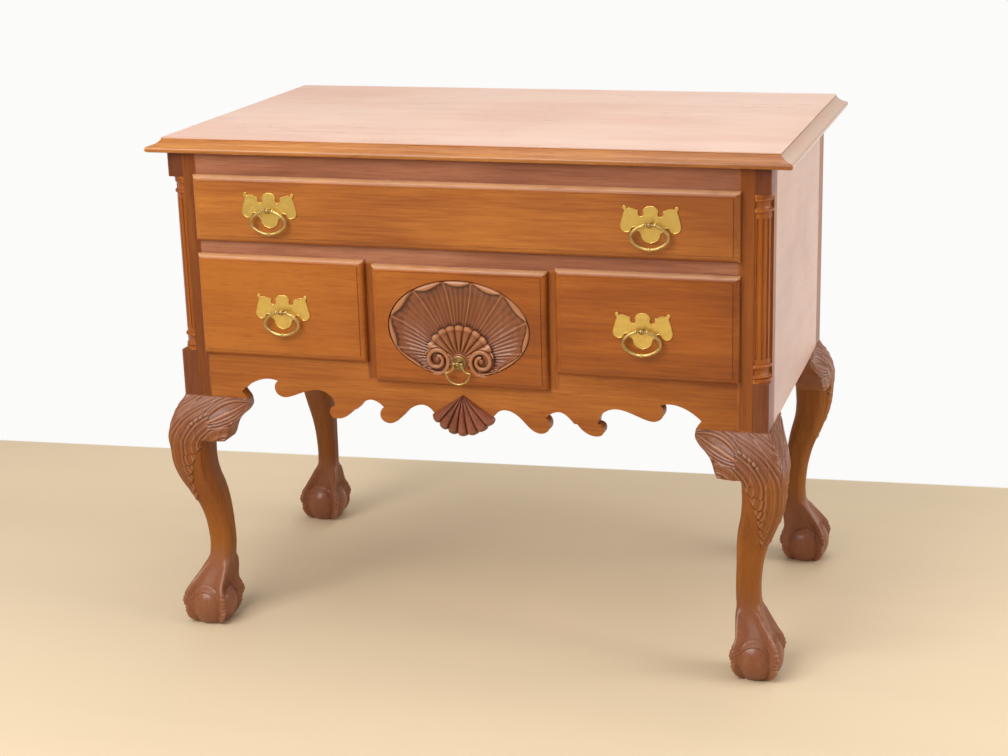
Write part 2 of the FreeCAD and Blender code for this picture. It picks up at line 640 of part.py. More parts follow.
def screw_places():
    """Where the screws that hold the top stand, right half."""
    kicker_x = POST_SIDE - RUNNER_COVER / 2
    rail_y = CASE_FRONT + RAIL_THICKNESS / 2
    return [V(POST_SIDE / 3, rail_y, TOP_RAIL_BOTTOM), V(kicker_x, POST_FRONT, TOP_RAIL_BOTTOM),
            V(kicker_x, POST_BACK, TOP_RAIL_BOTTOM)]


def screw(at, gap):
    """A countersunk screw driven up from the floor of its counterbore, grown by gap all round."""
    start = at + V(0, 0, SCREW_BORE_DEPTH)
    length = TOP_RAIL_HEIGHT - SCREW_BORE_DEPTH + SCREW_BITE + gap
    head = Part.makeCone(SCREW_HEAD_RADIUS + gap, SCREW_RADIUS + gap, SCREW_HEAD_HEIGHT, start)
    return fuse([head, Part.makeCylinder(SCREW_RADIUS + gap, length, start)])


def screw_holes():
    """Counterbores and clearance holes for every screw, both sides."""
    holes = []
    for at in screw_places():
        bore = Part.makeCylinder(SCREW_BORE_RADIUS, SCREW_BORE_DEPTH, at)
        hole = fuse([bore, screw(at, SCREW_GAP)])
        holes += [hole, flipped(hole)]
    return holes


def glue_blocks():
    """Blocks in the case's lower corners, right half."""
    x = (POST_SIDE - GLUE_BLOCK, POST_SIDE)
    z = (KNEE_HEIGHT + TENON_SHOULDER, KNEE_HEIGHT + TENON_SHOULDER + GLUE_BLOCK_HEIGHT)
    apron_back = CASE_FRONT + APRON_THICKNESS
    return [box(x, (apron_back, apron_back + GLUE_BLOCK), z),
            box(x, (BACK_INNER - GLUE_BLOCK, BACK_INNER), z)]


# ---- drawers ----

def thumbnail(lip, place):
    """A drawer front's moulded edge from its face to its back, lip(s) being s in from the edge."""
    curve = LIP_PROUD - LIP_EDGE
    bulge = THUMBNAIL * (1 - math.sqrt(0.5))
    depth = THUMBNAIL_STEP + (curve - THUMBNAIL_STEP) * (1 - math.sqrt(0.5))
    steps = (
        (None, (lip(THUMBNAIL), DRAWER_FACE + THUMBNAIL_STEP)),
        ((lip(bulge), DRAWER_FACE + depth), (lip(0), DRAWER_FACE + curve)),
        (None, (lip(0), LIP_BACK)),
    )
    return chain((lip(THUMBNAIL), DRAWER_FACE), steps, place)


def lipped_panel(x, z):
    """The moulded outer part of a drawer front."""
    def upright(y_first):
        return lambda s, y: V(s, y, y_first)

    def level(x_first):
        return lambda s, y: V(x_first, y, s)

    pieces = []
    for span, place, along in ((x, upright(z[0]), V(0, 0, z[1] - z[0])),
                               (z, level(x[0]), V(x[1] - x[0], 0, 0))):
        edges = thumbnail(lambda s, low=span[0]: low + s, place)
        edges += thumbnail(lambda s, high=span[1]: high - s, place)
        for y, inset in ((DRAWER_FACE, THUMBNAIL), (LIP_BACK, 0)):
            edges.append(Part.makeLine(place(span[0] + inset, y), place(span[1] - inset, y)))
        pieces.append(slab(edges, along))
    return pieces[0].common(pieces[1])


def tails(x, y_shoulder, z, count):
    """Dovetails of one drawer side, reaching forward from its shoulder."""
    pitch = (z[1] - z[0]) / count
    shapes = []
    for n in range(count):
        middle = z[0] + pitch * (n + 0.5)
        root = pitch / 4
        flare = root + TAIL_SLOPE
        outline = [V(x[0], y_shoulder, middle - root), V(x[0], y_shoulder - TAIL_LENGTH, middle - flare),
                   V(x[0], y_shoulder - TAIL_LENGTH, middle + flare), V(x[0], y_shoulder, middle + root)]
        edges = [Part.makeLine(a, b) for a, b in zip(outline, outline[1:] + outline[:1])]
        shapes.append(slab(edges, V(x[1] - x[0], 0, 0)))
    return shapes


def drawer(x, z, laps, tail_count):
    """A drawer for the opening x, z. laps are left, right, below and above. Shapes by part name."""
    lip_x = (x[0] - laps[0], x[1] + laps[1])
    lip_z = (z[0] - laps[2], z[1] + laps[3])
    box_x = (x[0] + DRAWER_SIDE_GAP, x[1] - DRAWER_SIDE_GAP)
    low = z[0] + RUN_GAP
    body = box(box_x, (LIP_BACK, FRONT_INNER), (low, z[1] - DRAWER_TOP_GAP))
    side_z = (low, z[1] - DRAWER_SIDE_DROP)
    inner_x = (box_x[0] + DRAWER_SIDE, box_x[1] - DRAWER_SIDE)
    floor = low + BOTTOM_RISE
    groove = box((inner_x[0] - GROOVE_DEPTH, inner_x[1] + GROOVE_DEPTH),
                 (FRONT_INNER - GROOVE_DEPTH, DRAWER_END), (floor, floor + BOTTOM_THICKNESS))
    panel_y = (FRONT_INNER - GROOVE_DEPTH + GROOVE_GAP, DRAWER_END)
    panel = box((inner_x[0] - GROOVE_DEPTH + GROOVE_GAP, inner_x[1] + GROOVE_DEPTH - GROOVE_GAP),
                panel_y, (floor, floor + BOTTOM_THICKNESS))
    back_y = (DRAWER_END - 2 * DRAWER_SIDE, DRAWER_END - DRAWER_SIDE)
    back = box((inner_x[0] - GROOVE_DEPTH, inner_x[1] + GROOVE_DEPTH), back_y,
               (floor + BOTTOM_THICKNESS, side_z[1]))
    sides = []
    pins = []
    for side_x in ((box_x[0], inner_x[0]), (inner_x[1], box_x[1])):
        joint = tails(side_x, FRONT_INNER, side_z, tail_count)
        board = box(side_x, (FRONT_INNER, DRAWER_END), side_z)
        sides.append(fuse([board] + joint).cut([groove, back]))
        pins += joint
    front = fuse([lipped_panel(lip_x, lip_z), body]).cut(pins + [groove])
    return {"front": front, "sides": sides, "back": back, "bottom": panel}


def shell_outline(grow):
    """The shell's oval in the drawer's face plane, grown all round."""
    middle = V(0, DRAWER_FACE, SHELL_HEIGHT)
    oval = Part.Ellipse(V(SHELL_HALF_WIDTH + grow, 0, 0), V(0, SHELL_HALF_HEIGHT + grow, 0), V(0, 0, 0))
    edge = oval.toShape()
    edge.rotate(V(0, 0, 0), V(1, 0, 0), 90)
    edge.translate(middle)
    return Part.Face(Part.Wire([edge]))


def shell_recess():
    """The hollow cut for the carving in the centre drawer's front."""
    return shell_outline(SHELL_GAP).extrude(V(0, SHELL_DEPTH, 0))


def shell_carving():
    """The carving: a dished oval with a raised fan, two volutes and a seat for the rosette."""
    block = shell_outline(0).extrude(V(0, SHELL_DEPTH, 0))
    # The dish is the outside of a ring so large that it runs out near the oval's edge both ways.
    upright = ((SHELL_HALF_HEIGHT - SHELL_RIM) ** 2 + SHELL_DISH ** 2) / (2 * SHELL_DISH)
    level = ((SHELL_HALF_WIDTH - SHELL_RIM) ** 2 + SHELL_DISH ** 2) / (2 * SHELL_DISH)
    dish = Part.makeTorus(level - upright, upright, V(0, DRAWER_FACE + SHELL_DISH - level, SHELL_HEIGHT))
    block = block.cut(dish)
    fan_at = V(0, DRAWER_FACE + SHELL_DISH + 1.0, SHELL_HEIGHT - SHELL_FAN_DROP)
    fan_ball = (SHELL_FAN_RADIUS ** 2 + SHELL_FAN_RISE ** 2) / (2 * SHELL_FAN_RISE)
    fan = Part.makeSphere(fan_ball, fan_at + V(0, fan_ball - SHELL_FAN_RISE, 0))
    fan_limit = Part.makeCylinder(SHELL_FAN_RADIUS, SHELL_DISH + 1.0, fan_at, V(0, -1, 0))
    forward = V(0, DRAWER_FACE + SHELL_DEPTH, 0)
    volutes = []
    for side in (-1, 1):
        at = forward + V(side * VOLUTE_SPREAD, 0, SHELL_HEIGHT - VOLUTE_DROP)
        volutes.append(Part.makeCylinder(VOLUTE_RADIUS, SHELL_DEPTH, at, V(0, -1, 0)))
    seat = Part.makeCylinder(ROSETTE_SEAT_RADIUS, SHELL_DEPTH, forward + V(0, 0, ROSETTE_HEIGHT),
                             V(0, -1, 0))
    raised = fuse([block, fan.common(fan_limit), seat] + volutes)
    return raised.common(shell_outline(0).extrude(V(0, SHELL_DEPTH, 0)))


# ---- pulls ----

def pull_post(x, z, face, head_radius, inner):
    """A pull's post from its bored head, through plate and drawer, and its nut inside."""
    pivot = face - PLATE_THICKNESS - PIVOT_OUT
    head = Part.makeSphere(head_radius, V(x, pivot, z))
    neck = Part.makeCylinder(POST_NECK_RADIUS, PIVOT_OUT, V(x, pivot, z), V(0, 1, 0))
    end = inner + POST_NUT_THICKNESS + POST_TAIL
    shank = Part.makeCylinder(POST_SHANK_RADIUS, end - pivot, V(x, pivot, z), V(0, 1, 0))
    bore = Part.makeCylinder(PIN_RADIUS + PIN_GAP, 4 * head_radius, V(x - 2 * head_radius, pivot, z),
                             V(1, 0, 0))
    nut = Part.makeCylinder(POST_NUT_RADIUS, POST_NUT_THICKNESS, V(x, inner, z), V(0, 1, 0))
    hole = Part.makeCylinder(POST_SHANK_RADIUS + PIN_GAP, end - pivot, V(x, pivot, z), V(0, 1, 0))
    return [fuse([head, neck, shank]).cut(bore), nut.cut(hole)]


def post_hole(x, z):
    """The hole for a post through a drawer front and what lies on it."""
    reach = 2 * (FRONT_INNER - DRAWER_FACE)
    return Part.makeCylinder(POST_SHANK_RADIUS + POST_HOLE_GAP, 2 * reach,
                             V(x, DRAWER_FACE - reach, z), V(0, 1, 0))


def batwing_plate(x, z):
    """A pierced plate on the drawer's face, with the post's hole."""
    right = chain(PLATE_START, PLATE_STEPS, lambda u, v: V(x + u, DRAWER_FACE, z + v))
    left = chain(PLATE_START, [(middle and (-middle[0], middle[1]), (-end[0], end[1]))
                               for middle, end in PLATE_STEPS],
                 lambda u, v: V(x + u, DRAWER_FACE, z + v))
    return slab(right + left, V(0, -PLATE_THICKNESS, 0)).cut(post_hole(x, z))


def tube(edges, radius):
    """A round bar along edges that run into each other smoothly."""
    wire = Part.Wire(edges)
    start = edges[0].valueAt(edges[0].FirstParameter)
    way = edges[0].tangentAt(edges[0].FirstParameter)
    section = Part.Wire([Part.makeCircle(radius, start, way)])
    return wire.makePipeShell([section], True, False)


def hinge_pins(x, pivot, z, collar_radius, collar_out):
    """The bail's two collars and the pins that turn in the post's bore."""
    shapes = []
    for side in (-1, 1):
        start = V(x + side * PIN_END, pivot, z)
        shapes.append(Part.makeCylinder(PIN_RADIUS, collar_out - PIN_END, start, V(side, 0, 0)))
        shapes.append(Part.makeSphere(collar_radius, V(x + side * collar_out, pivot, z)))
    return shapes


def batwing_bail(x, z):
    """A flattened oval bail hanging from its pivot, a little thicker at the bottom."""
    pivot = DRAWER_FACE - PLATE_THICKNESS - PIVOT_OUT
    a, b, r = BAIL_HALF_WIDTH, BAIL_HALF_HEIGHT, BAIL_SIDE_ARC
    large = ((a - r) ** 2 + b ** 2 - r ** 2) / (2 * (b - r))
    slope = math.atan2(large - b, a - r)

    def at(u, v):
        return V(x + u, pivot, z - b + v)

    turn_x = a - r + r * math.cos(slope)
    turn_z = r * math.sin(slope)
    start_z = math.sqrt(large ** 2 - COLLAR_OUT ** 2) - (large - b)
    mid_x = (COLLAR_OUT + turn_x) / 2
    mid_z = math.sqrt(large ** 2 - mid_x ** 2) - (large - b)
    edges = [
        Part.Arc(at(-COLLAR_OUT, start_z), at(-mid_x, mid_z), at(-turn_x, turn_z)).toShape(),
        Part.Arc(at(-turn_x, turn_z), at(-a, 0), at(-turn_x, -turn_z)).toShape(),
        Part.Arc(at(-turn_x, -turn_z), at(0, -b), at(turn_x, -turn_z)).toShape(),
        Part.Arc(at(turn_x, -turn_z), at(a, 0), at(turn_x, turn_z)).toShape(),
        Part.Arc(at(turn_x, turn_z), at(mid_x, mid_z), at(COLLAR_OUT, start_z)).toShape(),
    ]
    swell = Part.makeSphere(BAIL_SWELL, at(0, -b), V(1, 0, 0))
    return fuse([tube(edges, BAIL_RADIUS), swell] + hinge_pins(x, pivot, z, COLLAR_RADIUS, COLLAR_OUT))


def rosette(x, z):
    """The round plate of the centre drawer's pull."""
    disc = Part.makeCylinder(ROSETTE_RADIUS, PLATE_THICKNESS, V(x, DRAWER_FACE, z), V(0, -1, 0))
    rim = Part.makeTorus(ROSETTE_RADIUS - ROSETTE_DOME, ROSETTE_DOME,
                         V(x, DRAWER_FACE - PLATE_THICKNESS, z), V(0, -1, 0))
    rim = rim.common(box((x - ROSETTE_RADIUS, x + ROSETTE_RADIUS),
                         (DRAWER_FACE - PIVOT_OUT, DRAWER_FACE), (z - ROSETTE_RADIUS, z + ROSETTE_RADIUS)))
    return fuse([disc, rim]).cut(post_hole(x, z))


def rosette_bail(x, z):
    """A small bail with two outswept shoulders."""
    pivot = DRAWER_FACE - PLATE_THICKNESS - PIVOT_OUT
    wide, shoulder, drop = ROSETTE_BAIL_HALF_WIDTH, ROSETTE_BAIL_SHOULDER, ROSETTE_BAIL_DROP
    out = ROSETTE_COLLAR_OUT

    def at(u, v):
        return V(x + u, pivot, z + v)

    shapes = []
    for side in (-1, 1):
        arm = Part.Arc(at(side * out, 0), at(side * 0.55 * wide, -0.72 * shoulder),
                       at(side * wide, -shoulder)).toShape()
        shapes.append(tube([arm], ROSETTE_BAIL_RADIUS))
        shapes.append(Part.makeSphere(ROSETTE_BAIL_KNOT, at(side * wide, -shoulder)))
    bow = Part.Arc(at(-wide, -shoulder), at(0, -drop), at(wide, -shoulder)).toShape()
    shapes.append(tube([bow], ROSETTE_BAIL_RADIUS))
    return fuse(shapes + hinge_pins(x, pivot, z, ROSETTE_COLLAR_RADIUS, out))


# ---- the whole part ----

def case_nodes():
    """Every node of the case."""
    front_leg, rear_leg = right_legs()
    holes = screw_holes()
    nodes = {
        "top": top_board().cut(holes),
        "leg_front_right": front_leg,
        "leg_rear_right": rear_leg,
        "top_rail": rail((TOP_RAIL_BOTTOM, CASE_TOP), RAIL_THICKNESS, front_tenons()[0]).cut(holes),
        "drawer_blade": rail((BLADE_BOTTOM, BLADE_TOP), BLADE_DEPTH, front_tenons()[1]),
        "apron": apron(),
        "back_panel": back_panel(),
        "side_panel_right": side_panel(),
        "divider_right": divider(),
        "quarter_column_right": column(),
        "pendant_shell": pendant(),
    }
    nodes["drawer_blade"] = nodes["drawer_blade"].cut([divider(), flipped(divider())])
    for name in list(nodes):
        if name.endswith("_right"):
            nodes[name.replace("_right", "_left")] = flipped(nodes[name])
    groups = {
        "column_plinths": plinths(),
        "glue_blocks": glue_blocks(),
        "top_screws": [screw(at, 0) for at in screw_places()],
    }
    groups.update(running_gear())
    groups["long_drawer_kickers"] = [kicker.cut(holes) for kicker in groups["long_drawer_kickers"]]
    for name, shapes in groups.items():
        nodes[name] = shapes + [flipped(shape) for shape in shapes]
    for name, shapes in zip(("knee_brackets_front", "knee_bracket_rear"),
                            right_brackets(front_leg, rear_leg)):
        nodes[name + "_right"] = shapes
        nodes[name + "_left"] = [flipped(shape) for shape in shapes]
    return nodes


def pull_nodes(name, x, z, style):
    """The plate, bail and post of one pull."""
    plate, bail, head_radius = style
    return {
        name + "_plate": plate(x, z),
        name + "_bail": bail(x, z),
        name + "_post": pull_post(x, z, DRAWER_FACE, head_radius, FRONT_INNER),
    }


def drawer_nodes():
    """Every node of the four drawers and their pulls."""
    batwing = (batwing_plate, batwing_bail, POST_HEAD_RADIUS)
    even = (LIP_LAP, LIP_LAP, LIP_LAP, LIP_LAP)
    side_laps = (LIP_LAP, LIP_LAP, LIP_LAP, SIDE_TOP_LAP)
    centre_laps = (LIP_LAP, LIP_LAP, LIP_LAP, CENTRE_TOP_LAP)
    sets = {
        "long_drawer": drawer((-POST_SIDE, POST_SIDE), (BLADE_TOP, TOP_RAIL_BOTTOM), even,
                              TAIL_COUNT_SHALLOW),
        "left_drawer": drawer((-POST_SIDE, -DIVIDER_SIDE), (SIDE_SILL, BLADE_BOTTOM), side_laps,
                              TAIL_COUNT_DEEP),
        "right_drawer": drawer((DIVIDER_SIDE, POST_SIDE), (SIDE_SILL, BLADE_BOTTOM), side_laps,
                               TAIL_COUNT_DEEP),
        "shell_drawer": drawer((-CENTRE_SIDE, CENTRE_SIDE), (CENTRE_SILL, BLADE_BOTTOM), centre_laps,
                               TAIL_COUNT_DEEP),
    }
    pulls = {
        "long_drawer": (("long_left_pull", -LONG_PULL_X, LONG_PULL_HEIGHT, batwing),
                        ("long_right_pull", LONG_PULL_X, LONG_PULL_HEIGHT, batwing)),
        "left_drawer": (("left_pull", -SIDE_PULL_X, SIDE_PULL_HEIGHT, batwing),),
        "right_drawer": (("right_pull", SIDE_PULL_X, SIDE_PULL_HEIGHT, batwing),),
        "shell_drawer": (("shell_pull", 0, ROSETTE_HEIGHT, (rosette, rosette_bail, ROSETTE_HEAD_RADIUS)),),
    }
    carving = shell_carving()
    nodes = {}
    for drawer_name, parts in sets.items():
        for name, x, z, style in pulls[drawer_name]:
            parts["front"] = parts["front"].cut(post_hole(x, z))
            nodes.update(pull_nodes(name, x, z, style))
            carving = carving.cut(post_hole(x, z))
        if drawer_name == "shell_drawer":
            parts["front"] = parts["front"].cut(shell_recess())
        nodes.update({drawer_name + "_" + part: shape for part, shape in parts.items()})
    nodes["shell_carving"] = carving
    return nodes


def main():
    os.makedirs("parts", exist_ok=True)
    nodes = case_nodes()
    nodes.update(drawer_nodes())
    for name, shape in nodes.items():
        if isinstance(shape, list):
            shape = Part.makeCompound(shape)
        shape.exportStep("parts/" + name + ".step")


if __name__ == "__main__":
    main()
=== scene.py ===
"""The looks of a mahogany lowboy: carved legs, shell and pendant, wood and brass finishes, room."""
import logging
import math
from dataclasses import dataclass, replace
from enum import Enum
from typing import ClassVar, Sequence

import bmesh
import bpy
import numpy as np
from mathutils import Matrix, Vector


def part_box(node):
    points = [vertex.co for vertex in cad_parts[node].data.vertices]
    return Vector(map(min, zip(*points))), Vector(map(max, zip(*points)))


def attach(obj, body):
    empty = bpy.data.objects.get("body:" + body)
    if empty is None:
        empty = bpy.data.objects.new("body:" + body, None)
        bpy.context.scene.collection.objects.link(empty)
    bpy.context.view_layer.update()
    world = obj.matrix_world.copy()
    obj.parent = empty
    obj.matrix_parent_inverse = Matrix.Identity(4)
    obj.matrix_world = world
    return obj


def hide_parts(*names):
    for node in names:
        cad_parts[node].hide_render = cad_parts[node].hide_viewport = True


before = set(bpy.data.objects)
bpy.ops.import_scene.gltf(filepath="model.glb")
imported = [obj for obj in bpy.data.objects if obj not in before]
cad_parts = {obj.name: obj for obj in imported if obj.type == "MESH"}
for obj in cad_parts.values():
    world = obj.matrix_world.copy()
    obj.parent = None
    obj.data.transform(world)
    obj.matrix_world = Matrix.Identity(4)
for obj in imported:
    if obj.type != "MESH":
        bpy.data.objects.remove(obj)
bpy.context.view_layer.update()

LOG = logging.getLogger("lowboy")
Array = np.ndarray
Colour = tuple[float, float, float]
Point = tuple[float, float, float]
Knots = tuple[tuple[float, float], ...]
MM = 0.001

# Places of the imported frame, in millimetres.
CASE_HALF_WIDTH = 451.5
CASE_FRONT = -265.5
CASE_BACK = 238.5
CASE_TOP = 754.5
DRAWER_FACE = -277.9
KNEE_LINE = 377.5
POST_SIDE = 45.0


# ---- helpers on arrays ----

def smooth(x: Array, low: float, high: float) -> Array:
    """Smoothstep: 0 below low, 1 above high, and 3s^2 - 2s^3 between them."""
    s = np.clip((x - low) / (high - low), 0.0, 1.0)
    return s * s * (3.0 - 2.0 * s)


def curve(x: Array, knots: Sequence[tuple[float, float]]) -> Array:
    """A smooth line through (place, value) knots: cubic Hermite pieces with averaged slopes.

    Args:
        x: Where to read the line.
        knots: Pairs in rising order of place.

    Returns:
        The line's values, level beyond both ends.
    """
    xs, ys = np.array(knots, float).T
    step = np.diff(xs)
    slope = np.diff(ys) / step
    left, right = slope[:-1], slope[1:]
    inner = np.where(left * right > 0, 2 * left * right / np.where(left + right == 0, 1, left + right), 0)
    tangent = np.concatenate([slope[:1], inner, slope[-1:]])
    x = np.clip(x, xs[0], xs[-1])
    k = np.clip(np.searchsorted(xs, x) - 1, 0, len(step) - 1)
    u = (x - xs[k]) / step[k]
    a, b = tangent[k] * step[k], tangent[k + 1] * step[k]
    return (ys[k] * (1 + 2 * u) * (1 - u) ** 2 + a * u * (1 - u) ** 2
            + ys[k + 1] * u * u * (3 - 2 * u) - b * u * u * (1 - u))


def crevices(height: Array, gain: float, passes: int = 10) -> Array:
    """How far a relief stands above or below its surroundings: 0.5 is level, less is a crevice.

    Args:
        height: Relief over a grid of points, in millimetres.
        gain: Change of the value per millimetre.
        passes: Times that each point is averaged with its four neighbours to find the surroundings.

    Returns:
        Values from 0 to 1, the same shape as the grid.
    """
    around = height.copy()
    for _ in range(passes):
        around[1:-1] = (around[:-2] + around[1:-1] + around[2:]) / 3
        around[:, 1:-1] = (around[:, :-2] + around[:, 1:-1] + around[:, 2:]) / 3
    return np.clip(0.5 + (height - around) * gain, 0, 1)


def new_piece(name: str, points: list, faces: list) -> bpy.types.Object:
    """A new object in the scene.

    Args:
        name: The piece's name.
        points: Its points, in metres.
        faces: Each face as the numbers of its points.

    Returns:
        The object.
    """
    mesh = bpy.data.meshes.new(name)
    mesh.from_pydata(points, [], faces)
    piece = bpy.data.objects.new(name, mesh)
    bpy.context.scene.collection.objects.link(piece)
    return piece


def outwards(piece: bpy.types.Object) -> None:
    """Turns a closed mesh's faces outwards, after points in one place are merged.

    Args:
        piece: The piece to mend.
    """
    shell = bmesh.new()
    shell.from_mesh(piece.data)
    bmesh.ops.remove_doubles(shell, verts=shell.verts, dist=1e-7)
    bmesh.ops.recalc_face_normals(shell, faces=shell.faces)
    shell.to_mesh(piece.data)
    shell.free()


def skin(name: str, rings: Array, shades: dict[str, Array] | None = None,
         angle: float | None = None) -> bpy.types.Object:
    """A closed skin over rings of points, each end closed by a fan about the ring's middle.

    Args:
        name: The piece's name.
        rings: Array (rings, points, 3) in millimetres.
        shades: Values per point, (rings, points), kept as attributes for the finish.
        angle: Edges bent by more than this many degrees stay crisp.

    Returns:
        The new object, with its faces pointing outwards.
    """
    rows, cols, _ = rings.shape
    points = np.concatenate([rings.reshape(-1, 3), rings[:1].mean(1), rings[-1:].mean(1)]) * MM
    i, j = np.meshgrid(np.arange(rows - 1), np.arange(cols), indexing="ij")
    n = (j + 1) % cols
    quads = np.stack([i * cols + j, i * cols + n, (i + 1) * cols + n, (i + 1) * cols + j], -1).reshape(-1, 4)
    around = np.arange(cols)
    following = (around + 1) % cols
    first, last = rows * cols, rows * cols + 1
    start = np.stack([following, around, np.full(cols, first)], -1)
    end = np.stack([(rows - 1) * cols + around, (rows - 1) * cols + following, np.full(cols, last)], -1)
    a, b, c = (points[quads[:, k]] for k in (0, 1, 2))
    d = points[quads[:, 3]]
    volume = (np.einsum("ij,ij->i", a, np.cross(b, c)) + np.einsum("ij,ij->i", a, np.cross(c, d))).sum()
    caps = np.concatenate([start, end])
    a, b, c = (points[caps[:, k]] for k in (0, 1, 2))
    volume += np.einsum("ij,ij->i", a, np.cross(b, c)).sum()
    if volume < 0:
        quads, caps = quads[:, ::-1], caps[:, ::-1]
    piece = new_piece(name, points.tolist(), quads.tolist() + caps.tolist())
    mesh = piece.data
    mesh.shade_smooth()
    if angle is not None:
        mesh.set_sharp_from_angle(angle=math.radians(angle))
    for key, values in (shades or {}).items():
        ends = [values[k].mean(keepdims=True) for k in (0, -1)]
        flat = np.concatenate([values.reshape(-1), *ends])
        mesh.attributes.new(key, "FLOAT", "POINT").data.foreach_set("value", flat.astype(np.float32))
    return piece


# ---- shaders ----

class Value:
    """A number socket of a shader. Arithmetic on it adds Math nodes."""

    def __init__(self, shader: "Shader", socket: bpy.types.NodeSocket) -> None:
        """Keeps the socket and the shader that it belongs to."""
        self.shader = shader
        self.socket = socket

    def maths(self, operation: str, *terms: "Value | float") -> "Value":
        """Adds one Math node with these terms."""
        node = self.shader.add("Math", {"operation": operation}, dict(enumerate(terms)))
        return Value(self.shader, node.outputs[0])

    def __add__(self, other: "Value | float") -> "Value":
        """Sum."""
        return self.maths("ADD", self, other)

    __radd__ = __add__

    def __sub__(self, other: "Value | float") -> "Value":
        """Difference."""
        return self.maths("SUBTRACT", self, other)

    def __rsub__(self, other: "Value | float") -> "Value":
        """Difference, the other way round."""
        return self.maths("SUBTRACT", other, self)

    def __mul__(self, other: "Value | float") -> "Value":
        """Product."""
        return self.maths("MULTIPLY", self, other)

    __rmul__ = __mul__

    def least(self, other: "Value | float") -> "Value":
        """The smaller of the two."""
        return self.maths("MINIMUM", self, other)

    def most(self, other: "Value | float") -> "Value":
        """The larger of the two."""
        return self.maths("MAXIMUM", self, other)

    def size(self) -> "Value":
        """The value without its sign."""
        return self.maths("ABSOLUTE", self)

    def rise(self, low: float, high: float, start: float = 0.0, end: float = 1.0) -> "Value":
        """Goes smoothly from start at low to end at high.

        Args:
            low: Where the change starts.
            high: Where it ends.
            start: The value up to low.
            end: The value from high on.

        Returns:
            The changed value.
        """
        node = self.shader.add("MapRange", {"interpolation_type": "SMOOTHSTEP"},
                               {0: self, 1: low, 2: high, 3: start, 4: end})
        return Value(self.shader, node.outputs[0])


class Shader:
    """A material's nodes, all added through one method."""

    def __init__(self, name: str) -> None:
        """Starts a material with a Principled shader.

        Args:
            name: The material's name.
        """
        self.material = bpy.data.materials.new(name)
        self.material.use_nodes = True
        self.tree = self.material.node_tree
        self.surface = self.tree.nodes["Principled BSDF"]
        self.place = self.add("TexCoord", {}, {}).outputs["Object"]

    def set(self, node: bpy.types.Node, sockets: dict) -> None:
        """Gives each named or numbered socket of a node its value or its link.

        Args:
            node: The node.
            sockets: Values or links of its inputs by name or number.
        """
        for key, value in sockets.items():
            value = value.socket if isinstance(value, Value) else value
            if isinstance(value, bpy.types.NodeSocket):
                self.tree.links.new(value, node.inputs[key])
            else:
                node.inputs[key].default_value = value

    def add(self, kind: str, settings: dict, sockets: dict) -> bpy.types.Node:
        """Adds a node.

        Args:
            kind: Its type, without the word ShaderNode.
            settings: Its settings; stops are a ramp's (place, colour) pairs.
            sockets: Values or links of its inputs by name or number.

        Returns:
            The node.
        """
        node = self.tree.nodes.new("ShaderNode" + kind)
        for key, value in settings.items():
            if key == "stops":
                stops = node.color_ramp.elements
                while len(stops) < len(value):
                    stops.new(0.5)
                for stop, (position, colour) in zip(stops, value):
                    stop.position = position
                    stop.color = (*colour, 1.0)
            else:
                setattr(node, key, value)
        self.set(node, sockets)
        return node

    def noise(self, scale: Sequence[float], detail: float = 2.0, shift: float = 0.0,
              distortion: float = 0.0) -> Value:
        """Noise with its own scale per axis.

        Args:
            scale: Waves per metre along each axis.
            detail: How many finer layers are added.
            shift: Moves the noise, so that pieces differ.
            distortion: How much the noise is bent by itself.

        Returns:
            The noise, from 0 to 1.
        """
        mapping = self.add("Mapping", {}, {"Vector": self.place, "Scale": scale,
                                           "Location": (shift, -shift, 2 * shift)})
        node = self.add("TexNoise", {}, {"Vector": mapping.outputs[0], "Scale": 1.0, "Detail": detail,
                                         "Distortion": distortion})
        return Value(self, node.outputs[0])

    def mix(self, factor: "Value | float", first: "Colour | bpy.types.NodeSocket",
            second: "Colour | bpy.types.NodeSocket") -> bpy.types.NodeSocket:
        """Mixes two colours.

        Args:
            factor: The second colour's share.
            first: A colour or the socket of one.
            second: A colour or the socket of one.

        Returns:
            The socket of the mixed colour.
        """
        ends = [(*c, 1.0) if isinstance(c, tuple) else c for c in (first, second)]
        node = self.add("Mix", {"data_type": "RGBA"}, {0: factor, 6: ends[0], 7: ends[1]})
        return node.outputs[2]

    def axis(self, letter: str) -> Value:
        """One of the place's coordinates."""
        node = self.add("SeparateXYZ", {}, {0: self.place})
        return Value(self, node.outputs[letter])

    def attribute(self, name: str) -> Value:
        """A value kept on the piece's points."""
        return Value(self, self.add("Attribute", {"attribute_name": name}, {}).outputs["Fac"])

    def relief(self, height: Value, strength: float, distance: float) -> None:
        """Fine relief from a height."""
        bump = self.add("Bump", {}, {"Strength": strength, "Distance": distance, "Height": height})
        self.set(self.surface, {"Normal": bump.outputs[0]})


class Grain(Enum):
    """Which way a board's grain runs, as waves per metre along and across it."""
    ACROSS = 0
    DEEP = 1
    UPRIGHT = 2

    def scale(self, along: float, across: float) -> list[float]:
        """The three axes' scales for this grain."""
        return [along if k == self.value else across for k in range(3)]


